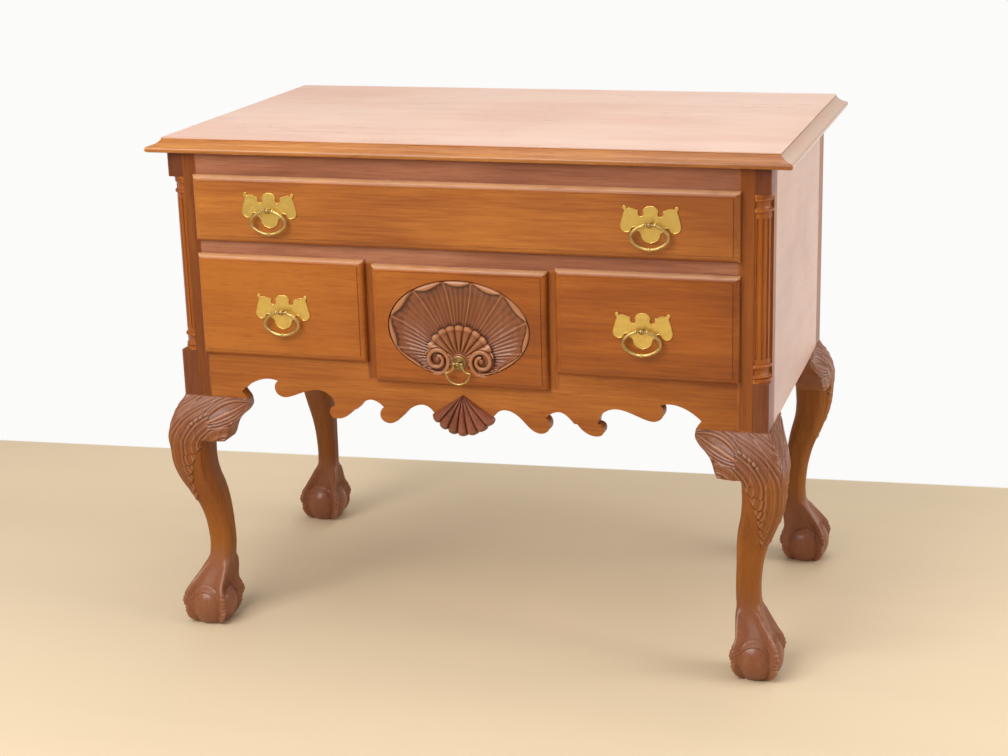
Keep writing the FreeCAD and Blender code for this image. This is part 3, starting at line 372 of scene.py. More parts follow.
@dataclass(frozen=True)
class Wood:
    """Oiled and waxed mahogany: ribbon figure, fibres, open pores, edges lighter from wear and painted
    highlight.

    Beside its three tones and its sheen, it holds the share of a lighter tone along the edges, wear that on
    the drawers' lips is also a painted highlight; a pale colour painted on a flat upper face as a painted
    sheen of reflected light; ends, the tone of the end grain beside it; how much the tone falls per metre
    towards the right, a painted fall-off of the light from the left; and lip, the share of a painted
    highlight along a board's upper edge.
    """
    name: str
    dark: Colour
    mid: Colour
    light: Colour
    grain: Grain
    roughness: float = 0.40
    coat: float = 0.12
    coat_roughness: float = 0.2
    shine: float = 0.3
    wear_and_highlight: float = 0.45
    painted_sheen: Colour | None = None
    ends: Colour = (0.56, 0.41, 0.32)
    painted_light_falloff: float = 0.0
    lip: float = 0.0
    lip_highlight: Colour = (0.74, 0.47, 0.27)

    def colour(self, shader: Shader, seed: float) -> tuple[bpy.types.NodeSocket, Value, Value]:
        """The wood's colour, the height of its fibres and its tone.

        Args:
            shader: The material being made.
            seed: Shifts the figure so that boards differ.

        Returns:
            The colour socket, the fibre height, and the tone from 0 (dark) to 1 (light).
        """
        figure = shader.noise(self.grain.scale(1.6, 17.0), 3.0, seed, 0.8).rise(0.28, 0.72)
        bands = shader.noise(self.grain.scale(4.0, 75.0), 2.0, seed + 3.1, 0.4).rise(0.25, 0.75)
        fibres = shader.noise(self.grain.scale(16.0, 330.0), 2.0, seed + 5.7).rise(0.3, 0.7)
        clouds = shader.noise((3.1, 3.7, 3.3), 2.0, seed + 9.2).rise(0.3, 0.7)
        pores = shader.noise(self.grain.scale(34.0, 760.0), 1.0, seed + 1.3).rise(0.58, 0.70)
        tone = figure * 0.32 + bands * 0.13 + fibres * 0.20 + clouds * 0.35
        # Painted light fall-off: the tone falls towards the right, where the light from the left weakens.
        ramp = shader.add("ValToRGB", {"stops": [(0.12, self.dark), (0.5, self.mid), (0.9, self.light)]},
                          {0: tone - shader.axis("X") * self.painted_light_falloff})
        speckled = shader.mix(pores * 0.45, ramp.outputs[0], self.dark)
        return speckled, fibres - pores * 0.8, tone

    def edges(self, shader: Shader, box: tuple[Point, Point]) -> Value:
        """How near a place lies to an edge of its board: 1 on the edge, 0 a few millimetres off.

        The edge is near where the second smallest distance to the board's faces is small.

        Args:
            shader: The material being made.
            box: The board's lower and upper corners, in metres.

        Returns:
            The nearness.
        """
        gaps = []
        for k, letter in enumerate("XYZ"):
            middle, half = (box[0][k] + box[1][k]) / 2, (box[1][k] - box[0][k]) / 2
            gaps.append(half - (shader.axis(letter) - middle).size())
        a, b, c = gaps
        second = a.least(b).most(a.most(b).least(c))
        uneven_wear_and_highlight = shader.noise((60.0, 60.0, 60.0), 2.0, 4.0)
        return (second + uneven_wear_and_highlight * 0.004).rise(0.0015, 0.0050, 1.0, 0.0)

    def smears(self, shader: Shader, seed: float) -> Value:
        """Broad smears of the polish, from 0 to 1."""
        return shader.noise((9.0, 9.0, 9.0), 3.0, seed + 2.0)

    def finish(self, shader: Shader, colour: bpy.types.NodeSocket, height: Value, seed: float) -> None:
        """Joins colour, sheen and fibres to the surface.

        Args:
            shader: The material being made.
            colour: Its colour.
            height: The height of its fibres.
            seed: Shifts the smears of the polish.
        """
        rough = self.smears(shader, seed) * 0.16 + height * 0.05 + (self.roughness - 0.10)
        shader.set(shader.surface, {
            "Base Color": colour, "Roughness": rough, "Coat Weight": self.coat,
            "Coat Roughness": self.coat_roughness, "Specular IOR Level": self.shine,
        })
        shader.relief(height, 0.30, 0.0003)

    def paint_sheen(self, shader: Shader, colour: bpy.types.NodeSocket, tone: Value,
             box: tuple[Point, Point]) -> bpy.types.NodeSocket:
        """A painted sheen of reflected light on a board's flat upper face, and the end grain of its moulded
        ends.

        An end starts at the mitre, where a place is as far from the end as from the front.

        Args:
            shader: The material being made.
            colour: The wood's own colour.
            tone: Its tone, from 0 (dark) to 1 (light).
            box: The board's lower and upper corners, in metres.

        Returns:
            The socket of the colour with the painted sheen.
        """
        # flat marks the upper face, where a painted sheen of reflected light takes the place of the wood's
        # colour.
        flat = shader.axis("Z").rise(box[1][2] - 0.0022, box[1][2] - 0.0004)
        shaded = tuple(v * v for v in self.painted_sheen)
        pale = shader.mix(tone.rise(0.25, 0.85, 0.42, 0.0), self.painted_sheen, shaded)
        from_end = box[1][0] - shader.axis("X").size()
        past_mitre = (shader.axis("Y") - box[0][1] - from_end).rise(-0.0004, 0.0004)
        on_end = past_mitre * from_end.rise(0.0188, 0.0196, 1.0, 0.0)
        end_grain = shader.mix(tone.rise(0.2, 0.8, 0.5, 0.0), self.ends, shaded)
        return shader.mix(flat, shader.mix(on_end, colour, end_grain), pale)

    def board(self, piece: bpy.types.Object, box: tuple[Point, Point], seed: float) -> None:
        """Dresses a board, lighter along its edges from wear and, on the drawers, painted highlight.

        Args:
            piece: The board.
            box: Its lower and upper corners, in metres.
            seed: Shifts the figure so that boards differ.
        """
        shader = Shader(f"{self.name}_{piece.name}")
        colour, height, tone = self.colour(shader, seed)
        if self.painted_sheen is not None:
            colour = self.paint_sheen(shader, colour, tone + height * 0.12, box)
        # Lighter edges: wear, and a painted highlight where the share is raised on the drawers.
        rubbed_and_highlit = tuple(min(1.0, v * 1.45 + 0.03) for v in self.light)
        colour = shader.mix(self.edges(shader, box) * self.wear_and_highlight, colour, rubbed_and_highlit)
        # A painted highlight along the upper edge of the drawers' lips.
        if self.lip:
            upper = shader.axis("Z").rise(box[1][2] - 0.0050, box[1][2] - 0.0030)
            patchy = shader.noise((22.0, 60.0, 60.0), 2.0, seed + 6.0).rise(0.2, 0.6, 0.5, 1.0)
            colour = shader.mix(upper * patchy * self.lip, colour, self.lip_highlight)
        self.finish(shader, colour, height, seed)
        wear(piece, shader.material)


@dataclass(frozen=True)
class Carving:
    """Stained carved wood: dirt and painted shade in its hollows, wear and painted highlight on its ridges.

    Where a piece is only partly carved, shank is the wood of the plain part.
    """
    wood: Wood
    shank: Wood | None = None
    # hollow: dirt and painted shade in the hollows; ridge: wear and painted highlight on the crests.
    hollow: Colour = (0.062, 0.017, 0.008)
    ridge: Colour = (0.47, 0.225, 0.13)

    def dress(self, piece: bpy.types.Object, seed: float) -> None:
        """Dresses a carved piece from its cavity and carved attributes.

        Args:
            piece: The carved piece.
            seed: Shifts the figure so that pieces differ.
        """
        shader = Shader(f"{self.wood.name}_{piece.name}")
        colour, height, _ = self.wood.colour(shader, seed)
        if self.shank is not None:
            plain, _, _ = self.shank.colour(shader, seed + 0.7)
            patchy = shader.noise((40.0, 40.0, 40.0), 2.0, 8.0)
            stain = (shader.attribute("carved") + (patchy - 0.5) * 0.3).rise(0.0, 1.0)
            colour = shader.mix(stain, plain, colour)
        cavity = shader.attribute("cavity")
        # Dirt and painted shade towards the hollow tone, wear and painted highlight towards the ridge tone.
        colour = shader.mix(cavity.rise(0.0, 0.42, 0.8, 0.0), colour, self.hollow)
        colour = shader.mix(cavity.rise(0.58, 1.0, 0.0, 0.5), colour, self.ridge)
        self.wood.finish(shader, colour, height, seed)
        if self.shank is not None:
            rough = (1.0 - stain) * 0.20 + self.wood.smears(shader, seed) * 0.16
            shader.set(shader.surface, {"Coat Weight": stain * self.wood.coat + 0.02,
                                        "Roughness": rough + (self.wood.roughness - 0.08)})
        wear(piece, shader.material)


@dataclass(frozen=True)
class Metal:
    """Cast metal with a soft lustre and patches of tarnish."""
    name: str
    bright: Colour
    tarnish: Colour
    roughness: float
    patches: float = 0.4

    def dress(self, piece: bpy.types.Object, seed: float) -> None:
        """Dresses a metal piece.

        Args:
            piece: The piece.
            seed: Shifts the tarnish.
        """
        shader = Shader(f"{self.name}_{piece.name}")
        patches = shader.noise((130.0, 130.0, 130.0), 4.0, seed).rise(0.40, 0.75, 0.0, self.patches)
        grit = shader.noise((900.0, 900.0, 900.0), 2.0, seed + 1.0)
        colour = shader.mix(patches, self.bright, self.tarnish)
        shader.set(shader.surface, {"Base Color": colour, "Metallic": 1.0,
                                    "Roughness": patches * 0.3 + grit * 0.08 + self.roughness})
        shader.relief(grit, 0.12, 0.0002)
        wear(piece, shader.material)


def wear(piece: bpy.types.Object, material: bpy.types.Material) -> None:
    """Gives a piece one material in all its slots.

    Args:
        piece: The piece.
        material: The material.
    """
    if piece.data.materials:
        for k in range(len(piece.data.materials)):
            piece.data.materials[k] = material
    else:
        piece.data.materials.append(material)


# Drawer fronts and apron: tone falls to the right as painted light fall-off. Drawer edges are lighter from
# wear and painted highlight; their lips carry a painted highlight.
LONG_DRAWER_WOOD = Wood("long_drawer", (0.27, 0.072, 0.011), (0.40, 0.131, 0.019), (0.51, 0.194, 0.030),
                        Grain.ACROSS, coat=0.3, coat_roughness=0.26, wear_and_highlight=0.7, painted_light_falloff=0.35, lip=0.45)
DRAWER_WOOD = Wood("drawer", (0.215, 0.048, 0.004), (0.327, 0.086, 0.007), (0.42, 0.132, 0.014),
                   Grain.ACROSS, coat=0.3, coat_roughness=0.26, wear_and_highlight=0.7, painted_light_falloff=0.35, lip=0.45)
FRAME_WOOD = Wood("frame", (0.17, 0.040, 0.005), (0.27, 0.072, 0.009), (0.365, 0.115, 0.015),
                  Grain.UPRIGHT)
APRON_WOOD = Wood("apron", (0.20, 0.047, 0.006), (0.325, 0.094, 0.012), (0.44, 0.152, 0.025),
                  Grain.ACROSS, painted_light_falloff=0.35)
# A darker copy of the frame wood for the left posts: painted shade.
SHADED_FRAME_WOOD = Wood("shaded_frame", (0.12, 0.027, 0.004), (0.185, 0.046, 0.006), (0.25, 0.075, 0.010),
                       Grain.UPRIGHT)
# The rails' purplish pink tint is painted shade and painted pinkish reflection, as beneath the top's
# overhang.
RAIL_WOOD = Wood("rail", (0.19, 0.064, 0.032), (0.31, 0.114, 0.058), (0.41, 0.175, 0.096),
                 Grain.ACROSS, wear_and_highlight=0.3)
BLOCK_WOOD = Wood("block", (0.09, 0.021, 0.007), (0.16, 0.041, 0.012), (0.24, 0.072, 0.024),
                  Grain.UPRIGHT, wear_and_highlight=0.3)
COLUMN_WOOD = Wood("column", (0.20, 0.046, 0.006), (0.345, 0.093, 0.010), (0.47, 0.158, 0.024),
                   Grain.UPRIGHT)
# The side panels' pale pink tone is a painted sheen of light reflected at a glancing angle from the right.
SIDE_WOOD_PAINTED_SHEEN = Wood("side", (0.41, 0.172, 0.075), (0.51, 0.226, 0.104), (0.60, 0.286, 0.137),
                 Grain.DEEP, roughness=0.34, coat=0.45, shine=0.5)
# The top's pale colour on its flat is a painted sheen of reflected light.
TOP_WOOD = Wood("top", (0.24, 0.068, 0.010), (0.40, 0.142, 0.024), (0.57, 0.25, 0.055),
                Grain.ACROSS, roughness=0.33, coat=0.3, shine=0.4, painted_sheen=(0.82, 0.575, 0.47), painted_light_falloff=0.6)
INNER_WOOD = Wood("inner", (0.36, 0.22, 0.11), (0.52, 0.35, 0.19), (0.62, 0.46, 0.28),
                  Grain.DEEP, roughness=0.6, coat=0.0, wear_and_highlight=0.15)
PANEL_WOOD = replace(INNER_WOOD, name="panel", grain=Grain.ACROSS)
CARVED_WOOD = Wood("carved", (0.184, 0.057, 0.022), (0.24, 0.082, 0.035), (0.295, 0.108, 0.049),
                   Grain.UPRIGHT, roughness=0.36, coat=0.3, shine=0.26)
SHELL_WOOD = Wood("shell", (0.18, 0.047, 0.014), (0.24, 0.072, 0.024), (0.31, 0.102, 0.037),
                  Grain.UPRIGHT, roughness=0.33, coat=0.5, coat_roughness=0.24, shine=0.35)
PENDANT_WOOD = Wood("pendant", (0.12, 0.030, 0.014), (0.20, 0.054, 0.026), (0.30, 0.092, 0.048),
                    Grain.UPRIGHT, roughness=0.32, coat=0.3, shine=0.45)
SHANK_WOOD = Wood("shank", (0.205, 0.057, 0.008), (0.28, 0.088, 0.011), (0.345, 0.120, 0.018),
                  Grain.UPRIGHT)
# Copies of the shank wood: darker for painted shade on the rear-left leg, paler for painted light on the
# rear-right.
SHADED_SHANK_WOOD = Wood("shaded_shank", (0.14, 0.036, 0.006), (0.185, 0.054, 0.008), (0.23, 0.075, 0.012),
                       Grain.UPRIGHT)
LIT_SHANK_WOOD = Wood("lit_shank", (0.24, 0.076, 0.013), (0.33, 0.118, 0.019), (0.41, 0.162, 0.031),
                       Grain.UPRIGHT)
BRASS = Metal("brass", (0.86, 0.62, 0.18), (0.60, 0.40, 0.11), 0.30)
BAIL_BRASS = Metal("bail_brass", (0.58, 0.43, 0.17), (0.26, 0.17, 0.06), 0.30, 0.6)
DARK_BRASS = Metal("dark_brass", (0.42, 0.29, 0.12), (0.14, 0.09, 0.045), 0.34, 0.6)
STEEL = Metal("steel", (0.45, 0.44, 0.42), (0.22, 0.16, 0.12), 0.4)


# ---- carved pieces ----

@dataclass(frozen=True)
class Leg:
    """A cabriole leg, its acanthus knee and its ball and claw foot, about one corner of the case.

    The tables are knots of height and value. Middle is how far the leg's middle line stands out from the
    corner, half the half-width, rounding the radius of the corners, slim what is taken off the half-width,
    ridge the talons' crest about the middle line, and heel what the talon that points inwards adds to it.
    """
    corner: tuple[float, float]
    outward: tuple[int, int]
    column: float = 23.0
    ball: float = 38.0
    ball_height: float = 30.0
    talon: float = 6.2
    ripple: float = 6.4
    foot_top: float = 112.0
    leaf_start: float = 192.0
    around: int = 296
    middle: Knots = ((0, -14), (57, -14), (64, -15.4), (72, -18.2), (80, -21.2), (90, -24.8), (100, -27.8),
                     (112, -30.2), (130, -31.2), (160, -29.8), (190, -26.2), (220, -19.2), (250, -10.4),
                     (265, -7.6), (280, -6.3), (300, -6.4), (318, -9.2), (340, -11.5), (360, -16.5),
                     (377.5, -22.5))
    half: Knots = ((0, 25), (57, 23), (66, 21.6), (80, 20.4), (95, 19.8), (112, 19.4), (130, 19.3),
                   (160, 20.0), (190, 22.1), (220, 25.8), (235, 27.4), (250, 28.4), (265, 29.4),
                   (280, 30.0), (300, 30.6), (318, 33.2), (340, 31.3), (360, 27.2), (377.5, 22.5))
    rounding: Knots = ((0, 14), (80, 12), (112, 12), (130, 12), (190, 12.5), (220, 13), (250, 13),
                       (300, 12), (318, 11), (360, 6), (377.5, 3))
    slim: Knots = ((0, 0), (400, 0))
    ridge: Knots = ((0, 27.5), (3, 33.5), (8, 39.5), (14, 43.4), (18, 45.4), (22, 46.6), (26, 46.2),
                    (30, 46.4), (35, 48.6), (40, 49.8), (44, 49.2), (48, 47.4), (52, 45.6), (55, 44.8),
                    (58, 42.8), (62, 40.2), (68, 37.4), (75, 34.6), (84, 31.2), (94, 27.4), (112, 20.0))
    heel: Knots = ((0, 0), (20, 1.5), (44, 4.0), (62, 4.6), (78, 4.2), (92, 2.4), (108, 0))

    def halves(self, z: Array) -> Array:
        """Half-width of the leg, less what slim takes off."""
        return curve(z, self.half) - curve(z, self.slim)

    def outer(self, z: Array) -> Array:
        """How far the outer faces stand out from the case's corner at a height."""
        return curve(z, self.middle) + self.halves(z)

    def square(self, a: Array, half: Array, rounding: Array) -> Array:
        """Radius of a square with corners rounded to circles, from where a ray meets side or circle.

        Args:
            a: Angles of the rays.
            half: Half-width of the square.
            rounding: Radius of its corners.

        Returns:
            The radius along each ray.
        """
        b = np.abs((a + math.pi / 4) % (math.pi / 2) - math.pi / 4)
        flat = half / np.cos(b)
        p = (half - rounding) * (np.cos(b) + np.sin(b))
        bent = p + np.sqrt(np.maximum(p * p - 2 * (half - rounding) ** 2 + rounding ** 2, 0))
        return np.where(half * np.tan(b) <= half - rounding, flat, bent)

    def from_talon(self, a: Array) -> Array:
        """Signed angle from the nearest talon."""
        return a % (math.pi / 2) - math.pi / 4

    def ball_radius(self, z: Array, least: float) -> Array:
        """Radius of the ball at a height, its square never below least."""
        return np.sqrt(np.maximum(self.ball ** 2 - (z - self.ball_height) ** 2, least))

    def waves(self, z: Array) -> Array:
        """The talons' ripples, a sine of the height."""
        return np.sin(2 * math.pi * z / self.ripple)

    def hem(self, a: Array) -> Array:
        """Height of the arch where the skin ends over the ball, highest halfway between two talons."""
        from_face = math.pi / 4 - np.abs(self.from_talon(a))
        return 54.5 - 12 * (from_face / math.radians(36)) ** 2.5

    def foot(self, a: Array, z: Array, body: Array) -> Array:
        """Radius of the foot: a ball, a skin that ends in an arch over it, and four ridged talons.

        Args:
            a: Angles about the middle line.
            z: Heights.
            body: Radius of the leg without its foot.

        Returns:
            The radius.
        """
        ball = self.ball_radius(z, 0)
        hem = self.hem(a)
        skin_over = np.maximum(body, ball + 0.9) + 0.7 * np.exp(-(((z - hem - 1.5) / 1.1) ** 2))
        radius = ball + (skin_over - ball) * smooth(z - hem, -0.4, 0.5)
        heel = curve(z, self.heel) * smooth(-np.cos(a - math.pi / 4), 0.2, 0.8)
        ripples = 0.6 * self.waves(z) * (1 - smooth(z, 50, 60)) * smooth(z, 8, 14)
        crest = curve(z, self.ridge) + heel + ripples
        side = np.abs(crest * np.sin(self.from_talon(a)))
        taper = 1 + 0.25 * smooth(z, 50, 72) - 0.14 * smooth(26 - z, 0, 3) - 0.2 * smooth(14 - z, 0, 14)
        width = self.talon * taper
        across = np.clip(side / width, 0, 1)
        toe = radius + (crest - radius) * (1 - across ** 2.4) ** 0.42
        soft = radius + (crest - radius) * np.exp(-((side / (0.95 * width)) ** 2))
        above = smooth(z, 50, 66)
        toe = toe * (1 - above) + soft * above
        lift = smooth(114 - z, 0, 20)
        return np.maximum(radius, toe * lift + radius * (1 - lift))

    def rows(self) -> tuple[Array, Array]:
        """Angles and heights of the skin's points, closer together on the foot and the knee.

        Returns:
            Both as arrays (heights, angles).
        """
        foot = np.linspace(0, self.foot_top, 130)
        shank = np.linspace(self.foot_top, self.leaf_start, 22)
        knee = np.linspace(self.leaf_start, KNEE_LINE, 150)
        heights = np.concatenate([foot, shank[1:], knee[1:]])
        angles = np.linspace(0, 2 * math.pi, self.around, endpoint=False)
        return np.meshgrid(angles + 0.11 * np.sin(4 * angles), heights)

    def foot_shade(self, a: Array, z: Array, radius: Array) -> Array:
        """The foot's wear and painted light: pale talon crests, painted shade at their walls, ripples and
        hem.

        Args:
            a: Angles about the middle line.
            z: Heights.
            radius: Radius of the finished leg.

        Returns:
            Values of the kind that crevices gives.
        """
        over_ball = radius - self.ball_radius(z, 1)
        crest = smooth(1 - np.abs(self.from_talon(a)) * 5.5, 0.0, 1.0)
        proud = smooth(over_ball, 0.3, 2.0)
        below = self.hem(a) - z
        # Painted shade at the talons' walls, in the ripples' creases and along the hem; the crests' lift is
        # wear and painted highlight.
        wall = np.exp(-(((over_ball - 1.4) / 1.2) ** 2)) * smooth(below, 0.0, 1.0) * (z > 6)
        crease = 0.16 * crest * proud * (self.waves(z) < -0.3) * (z < 56)
        hem_shade = np.exp(-((below / 0.7) ** 2))
        return 0.52 - 0.14 * smooth(-below, 0, 3) + 0.34 * crest * proud - 0.45 * wall - 0.40 * hem_shade - crease

    def build(self, name: str) -> bpy.types.Object:
        """The leg below the case, as a radius about its bent middle line.

        Args:
            name: The piece's name.

        Returns:
            The leg, with its cavity and carved attributes.
        """
        a, z = self.rows()
        middle, half = curve(z, self.middle), self.halves(z)
        outside = smooth(np.cos(a - math.pi / 4), 0.0, 0.2)
        rounding = curve(z, self.rounding)
        inner = np.where(z > 312, 1.5, np.maximum(rounding, 0.70 * half * smooth(z, 60, 110)))
        rounding = rounding * outside + inner * (1 - outside)
        radius = self.square(a, half, rounding)
        radius = np.where(z < self.foot_top, self.foot(a, z, radius), radius)
        u, v = middle + radius * np.cos(a), middle + radius * np.sin(a)
        face = middle + half
        near, far = np.minimum(face - u, face - v), np.maximum(face - u, face - v)
        depth, leaf = acanthus(far, z)
        leaf = leaf * (1 - smooth(near, 3.0, 8.0))
        radius = radius + depth * leaf
        u, v = middle + radius * np.cos(a), middle + radius * np.sin(a)
        rings = np.stack([self.corner[0] + self.outward[0] * u, self.corner[1] + self.outward[1] * v, z], -1)
        # Dirt, wear and painted light from the leaf's relief, and on the foot the painted shade and
        # highlight of foot_shade.
        cavity = crevices(depth * leaf, 0.8, 7)
        low = 1 - smooth(z, 70, 100)
        cavity = cavity * (1 - low) + self.foot_shade(a, z, radius) * low
        carved = np.maximum(0.35 * leaf, 1 - smooth(z, 76, 150))
        carved = np.maximum(carved, knee_stain(z))
        return skin(name, rings, {"cavity": cavity, "carved": carved})

    def upright(self, name: str, recessed: bool) -> bpy.types.Object:
        """The post above the knee: an outline carried straight up.

        Args:
            name: The piece's name.
            recessed: Whether the outline is rebated for a quarter column.

        Returns:
            The post.
        """
        p, c = -POST_SIDE, -self.column
        outline = [(p, p), (0, p), (0, 0), (p, 0)]
        if recessed:
            outline = [(p, p), (0, p), (0, c), (c, c), (c, 0), (p, 0)]
        flat = np.array(outline, float) * self.outward + self.corner
        count = len(flat)
        points = [(x * MM, y * MM, z * MM) for z in (KNEE_LINE, CASE_TOP) for x, y in flat]
        faces = [tuple(range(count)), tuple(range(count, 2 * count))]
        faces += [(k, (k + 1) % count, count + (k + 1) % count, count + k) for k in range(count)]
        piece = new_piece(name, points, faces)
        outwards(piece)
        bevel = piece.modifiers.new("Bevel", "BEVEL")
        bevel.width = 0.0005
        bevel.segments = 2
        return piece


LEAF_TIPS = (198.0, 213.0, 229.0, 246.0, 264.0, 283.0, 304.0)
LEAF_WIDTHS = ((194, 0), (204, 6), (236, 19), (262, 31), (290, 44), (304, 54), (311, 90), (320, 200))
LEAF_DEPTH = 2.4


def knee_stain(height: Array) -> Array:
    """How far the carving's dark stain covers the wood: not at all on the shank, wholly at the knee."""
    return smooth(height, 285, 340)


def acanthus(across: Array, height: Array) -> tuple[Array, Array]:
    """Relief of the acanthus on a knee's face and the brackets beside it.

    Flutes with sharp crests follow circles about a point inside the bracket above the bend, and run down
    beside the arris below it. There the leaf ends in overlapping lobes: each widens downwards, bends the
    flutes outwards, rises towards its tip and drops to the next.

    Args:
        across: Distance from the leg's outer arris along the face, in millimetres.
        height: Height above the floor, in millimetres.

    Returns:
        The relief in millimetres and the leaf's mask.
    """
    turn_across, turn_height = 95.0, 290.0
    up = np.maximum(height - turn_height, 0)
    reach = np.hypot(across - turn_across, up)
    rib = np.where(height >= turn_height, 92 - reach, across - 3)
    flow = np.where(height >= turn_height, 70 * np.arctan2(up, turn_across - across), height - turn_height)
    tips = np.array(LEAF_TIPS)
    wide = curve(height, LEAF_WIDTHS)
    share = np.clip(across / np.maximum(wide, 1), 0, 1.3)
    low = smooth(309 - height, 0, 11)
    bent = height - 7.0 * share ** 2 * low
    lobe = np.clip(np.searchsorted(tips, bent) - 1, 0, len(tips) - 2)
    fall = np.clip((tips[lobe + 1] - bent) / (tips[lobe + 1] - tips[lobe]), 0, 1)
    swell = np.sqrt(np.maximum(1 - (2 * fall - 1) ** 2, 0))
    edge = wide + (5.5 * swell - 1.0) * smooth(height, 196, 206) * smooth(312 - height, 0, 8)
    inside = np.clip(across / np.maximum(edge, 1), 0, 1)
    rib = rib - 5.0 * fall ** 1.5 * inside ** 2 * low
    place = rib / 8.6
    place = place + 0.20 * np.sin(2 * math.pi * place / 2.6)
    crest = np.abs(2 * (place % 1) - 1) ** 1.7
    bold = 1.45 + 0.55 * np.cos(2 * math.pi * place / 2.6)
    vein = 0.20 * np.cos(2 * math.pi * place * 3)
    step = ((flow + 1.3 * rib) / 41) % 1
    leaf = smooth(edge - across, 0.0, 1.6)
    depth = 0.35 + bold * crest * 0.95 + vein + 0.7 * step ** 2 * (1 - low)
    depth = depth + (1.2 * swell * smooth(inside, 0.35, 0.8) - 0.4) * low
    channel = np.abs(rib - 17)
    on_beads = smooth(flow, 38, 44) * (1 - smooth(flow, 84, 90)) * (1 - smooth(channel, 3.2, 4.6))
    string = 2.3 * np.sqrt(np.maximum(1 - (channel / 3.0) ** 2, 0))
    beads = 0.2 + string * np.abs(np.cos(math.pi * flow / 6.8)) ** 0.6
    depth = depth * (1 - on_beads) + beads * on_beads
    return np.minimum(depth, LEAF_DEPTH), leaf


def leaf_eye(along: Array, drop: Array) -> tuple[Array, Array]:
    """The bracket's folded leaf: an almond that is hollow above and swells below, with rings round it.

    The almond runs from the post's face down to the tip of the bracket. Its half-width follows
    (4u(1 - u))^0.75 of the share u along it, and the rings are crests at even steps of distance from it.

    Args:
        along: Distance from the post's face towards the bracket's tip.
        drop: Distance below the case.

    Returns:
        Relief and how much it takes the place of the ribs.
    """
    start, end, half = (-7.0, 37.0), (57.0, 7.0), 11.0
    length = math.hypot(end[0] - start[0], end[1] - start[1])
    c, s = (end[0] - start[0]) / length, (end[1] - start[1]) / length
    u = ((along - start[0]) * c + (drop - start[1]) * s) / length
    v = (along - start[0]) * s - (drop - start[1]) * c - 2.0 * np.sin(math.pi * np.clip(u, 0, 1))
    width = half * np.maximum(4 * u * (1 - u), 0.0) ** 0.75 + 0.4
    n = v / width
    fold = 0.25 * np.sin(2 * math.pi * u * 1.1)
    midrib = 2.0 * np.exp(-(((n - 0.45) / 0.13) ** 2)) * smooth(u, 0.22, 0.4)
    hollow = -1.7 + midrib * (1 - smooth(u, 0.62, 0.8))
    swell = 2.1 - 2.5 * ((n + 0.45) / 0.55) ** 2
    inner = np.where(n > fold, hollow, np.maximum(swell, -0.3))
    rim = LEAF_DEPTH * np.exp(-(((np.abs(n) - 1) / 0.20) ** 2))
    outside = (np.abs(v) - width) / 5.2
    rings = 0.5 + 1.6 * np.abs(2 * ((outside + 0.12) % 1) - 1) ** 1.8
    relief = np.where(np.abs(n) < 1, np.maximum(inner, rim), np.maximum(rings, rim))
    near = (1 - smooth(outside, 1.7, 2.1)) * smooth(u, -0.12, 0.02) * (1 - smooth(u, 1.0, 1.08))
    return relief, near


@dataclass(frozen=True)
class Bracket:
    """A carved knee bracket: it runs from a post's face along the underside of the case.

    Lower holds how far its lower edge drops below the case at places along it, and tip is where it ends.
    """
    start: tuple[float, float]
    along: tuple[int, int]
    outward: tuple[int, int]
    leg: Leg
    thickness: float = 20.0
    tip: float = 60.6
    lower: Knots = ((-12.0, 65.4), (3.8, 65.6), (24.5, 66.0), (26.8, 62.0), (28.4, 59.6), (31.1, 51.3),
                    (35.5, 40.8), (42.5, 32.2), (52.5, 23.7), (57.6, 17.5), (60.0, 13.0), (60.6, 9.6))

    def build(self, name: str) -> bpy.types.Object:
        """Rings across the bracket from inside the leg to the tip: face, underside, back and top.

        Args:
            name: The piece's name.

        Returns:
            The bracket, with its cavity and carved attributes.
        """
        s = np.linspace(0, 1, 84)
        along = -10 + (self.tip + 10) * (1 - (1 - s) ** 1.35)
        lower = curve(along, self.lower)
        upper = np.maximum(0, 9.0 * np.clip((along - 58.6) / 2.0, 0, 1) ** 1.5)
        share = np.linspace(0, 1, 56)
        a = np.repeat(along[:, None], share.size, 1)
        drop = upper[:, None] + (lower - upper)[:, None] * share[None]
        height = KNEE_LINE - drop
        swell = self.leg.outer(height)
        fade = np.clip((self.tip - a) / self.tip, 0, 1) ** 0.62
        depth, _ = acanthus(POST_SIDE + swell + a, height)
        eye, on_eye = leaf_eye(a, drop)
        depth = depth * (1 - on_eye) + eye * on_eye
        calm = smooth(self.tip - a, 0, 6)
        rim = smooth((lower - upper)[:, None] * (1 - share[None]), 0.0, 2.5)
        out = swell * np.minimum(fade, 1) + depth * calm * (0.25 + 0.75 * rim) - 1.8 * smooth(-a, 0.0, 6.0)
        inner = np.full((along.size, 1), -self.thickness)
        under = np.concatenate([out[:, -1:] * 0.6 + inner * 0.4, out[:, -1:] * 0.2 + inner * 0.8], 1)
        back = np.repeat(inner, 4, 1)
        lid = np.concatenate([inner * 0.7, inner * 0.3], 1)
        v = np.concatenate([out, under, back, lid], 1)
        low, high = height[:, -1:], height[:, :1]
        z = np.concatenate([height, low, low, low, low * 0.66 + high * 0.34, low * 0.33 + high * 0.67, high,
                            high, high], 1)
        u = np.repeat(along[:, None], z.shape[1], 1)
        x = self.start[0] + self.along[0] * u + self.outward[0] * v
        y = self.start[1] + self.along[1] * u + self.outward[1] * v
        # Dirt, wear and painted light from the relief on the face; the back and underside stay near level.
        cavity = np.full(z.shape, 0.45)
        cavity[:, :share.size] = crevices(depth * calm, 0.8, 6)
        return skin(name, np.stack([x, y, z], -1), {"cavity": cavity, "carved": knee_stain(z)}, 50)


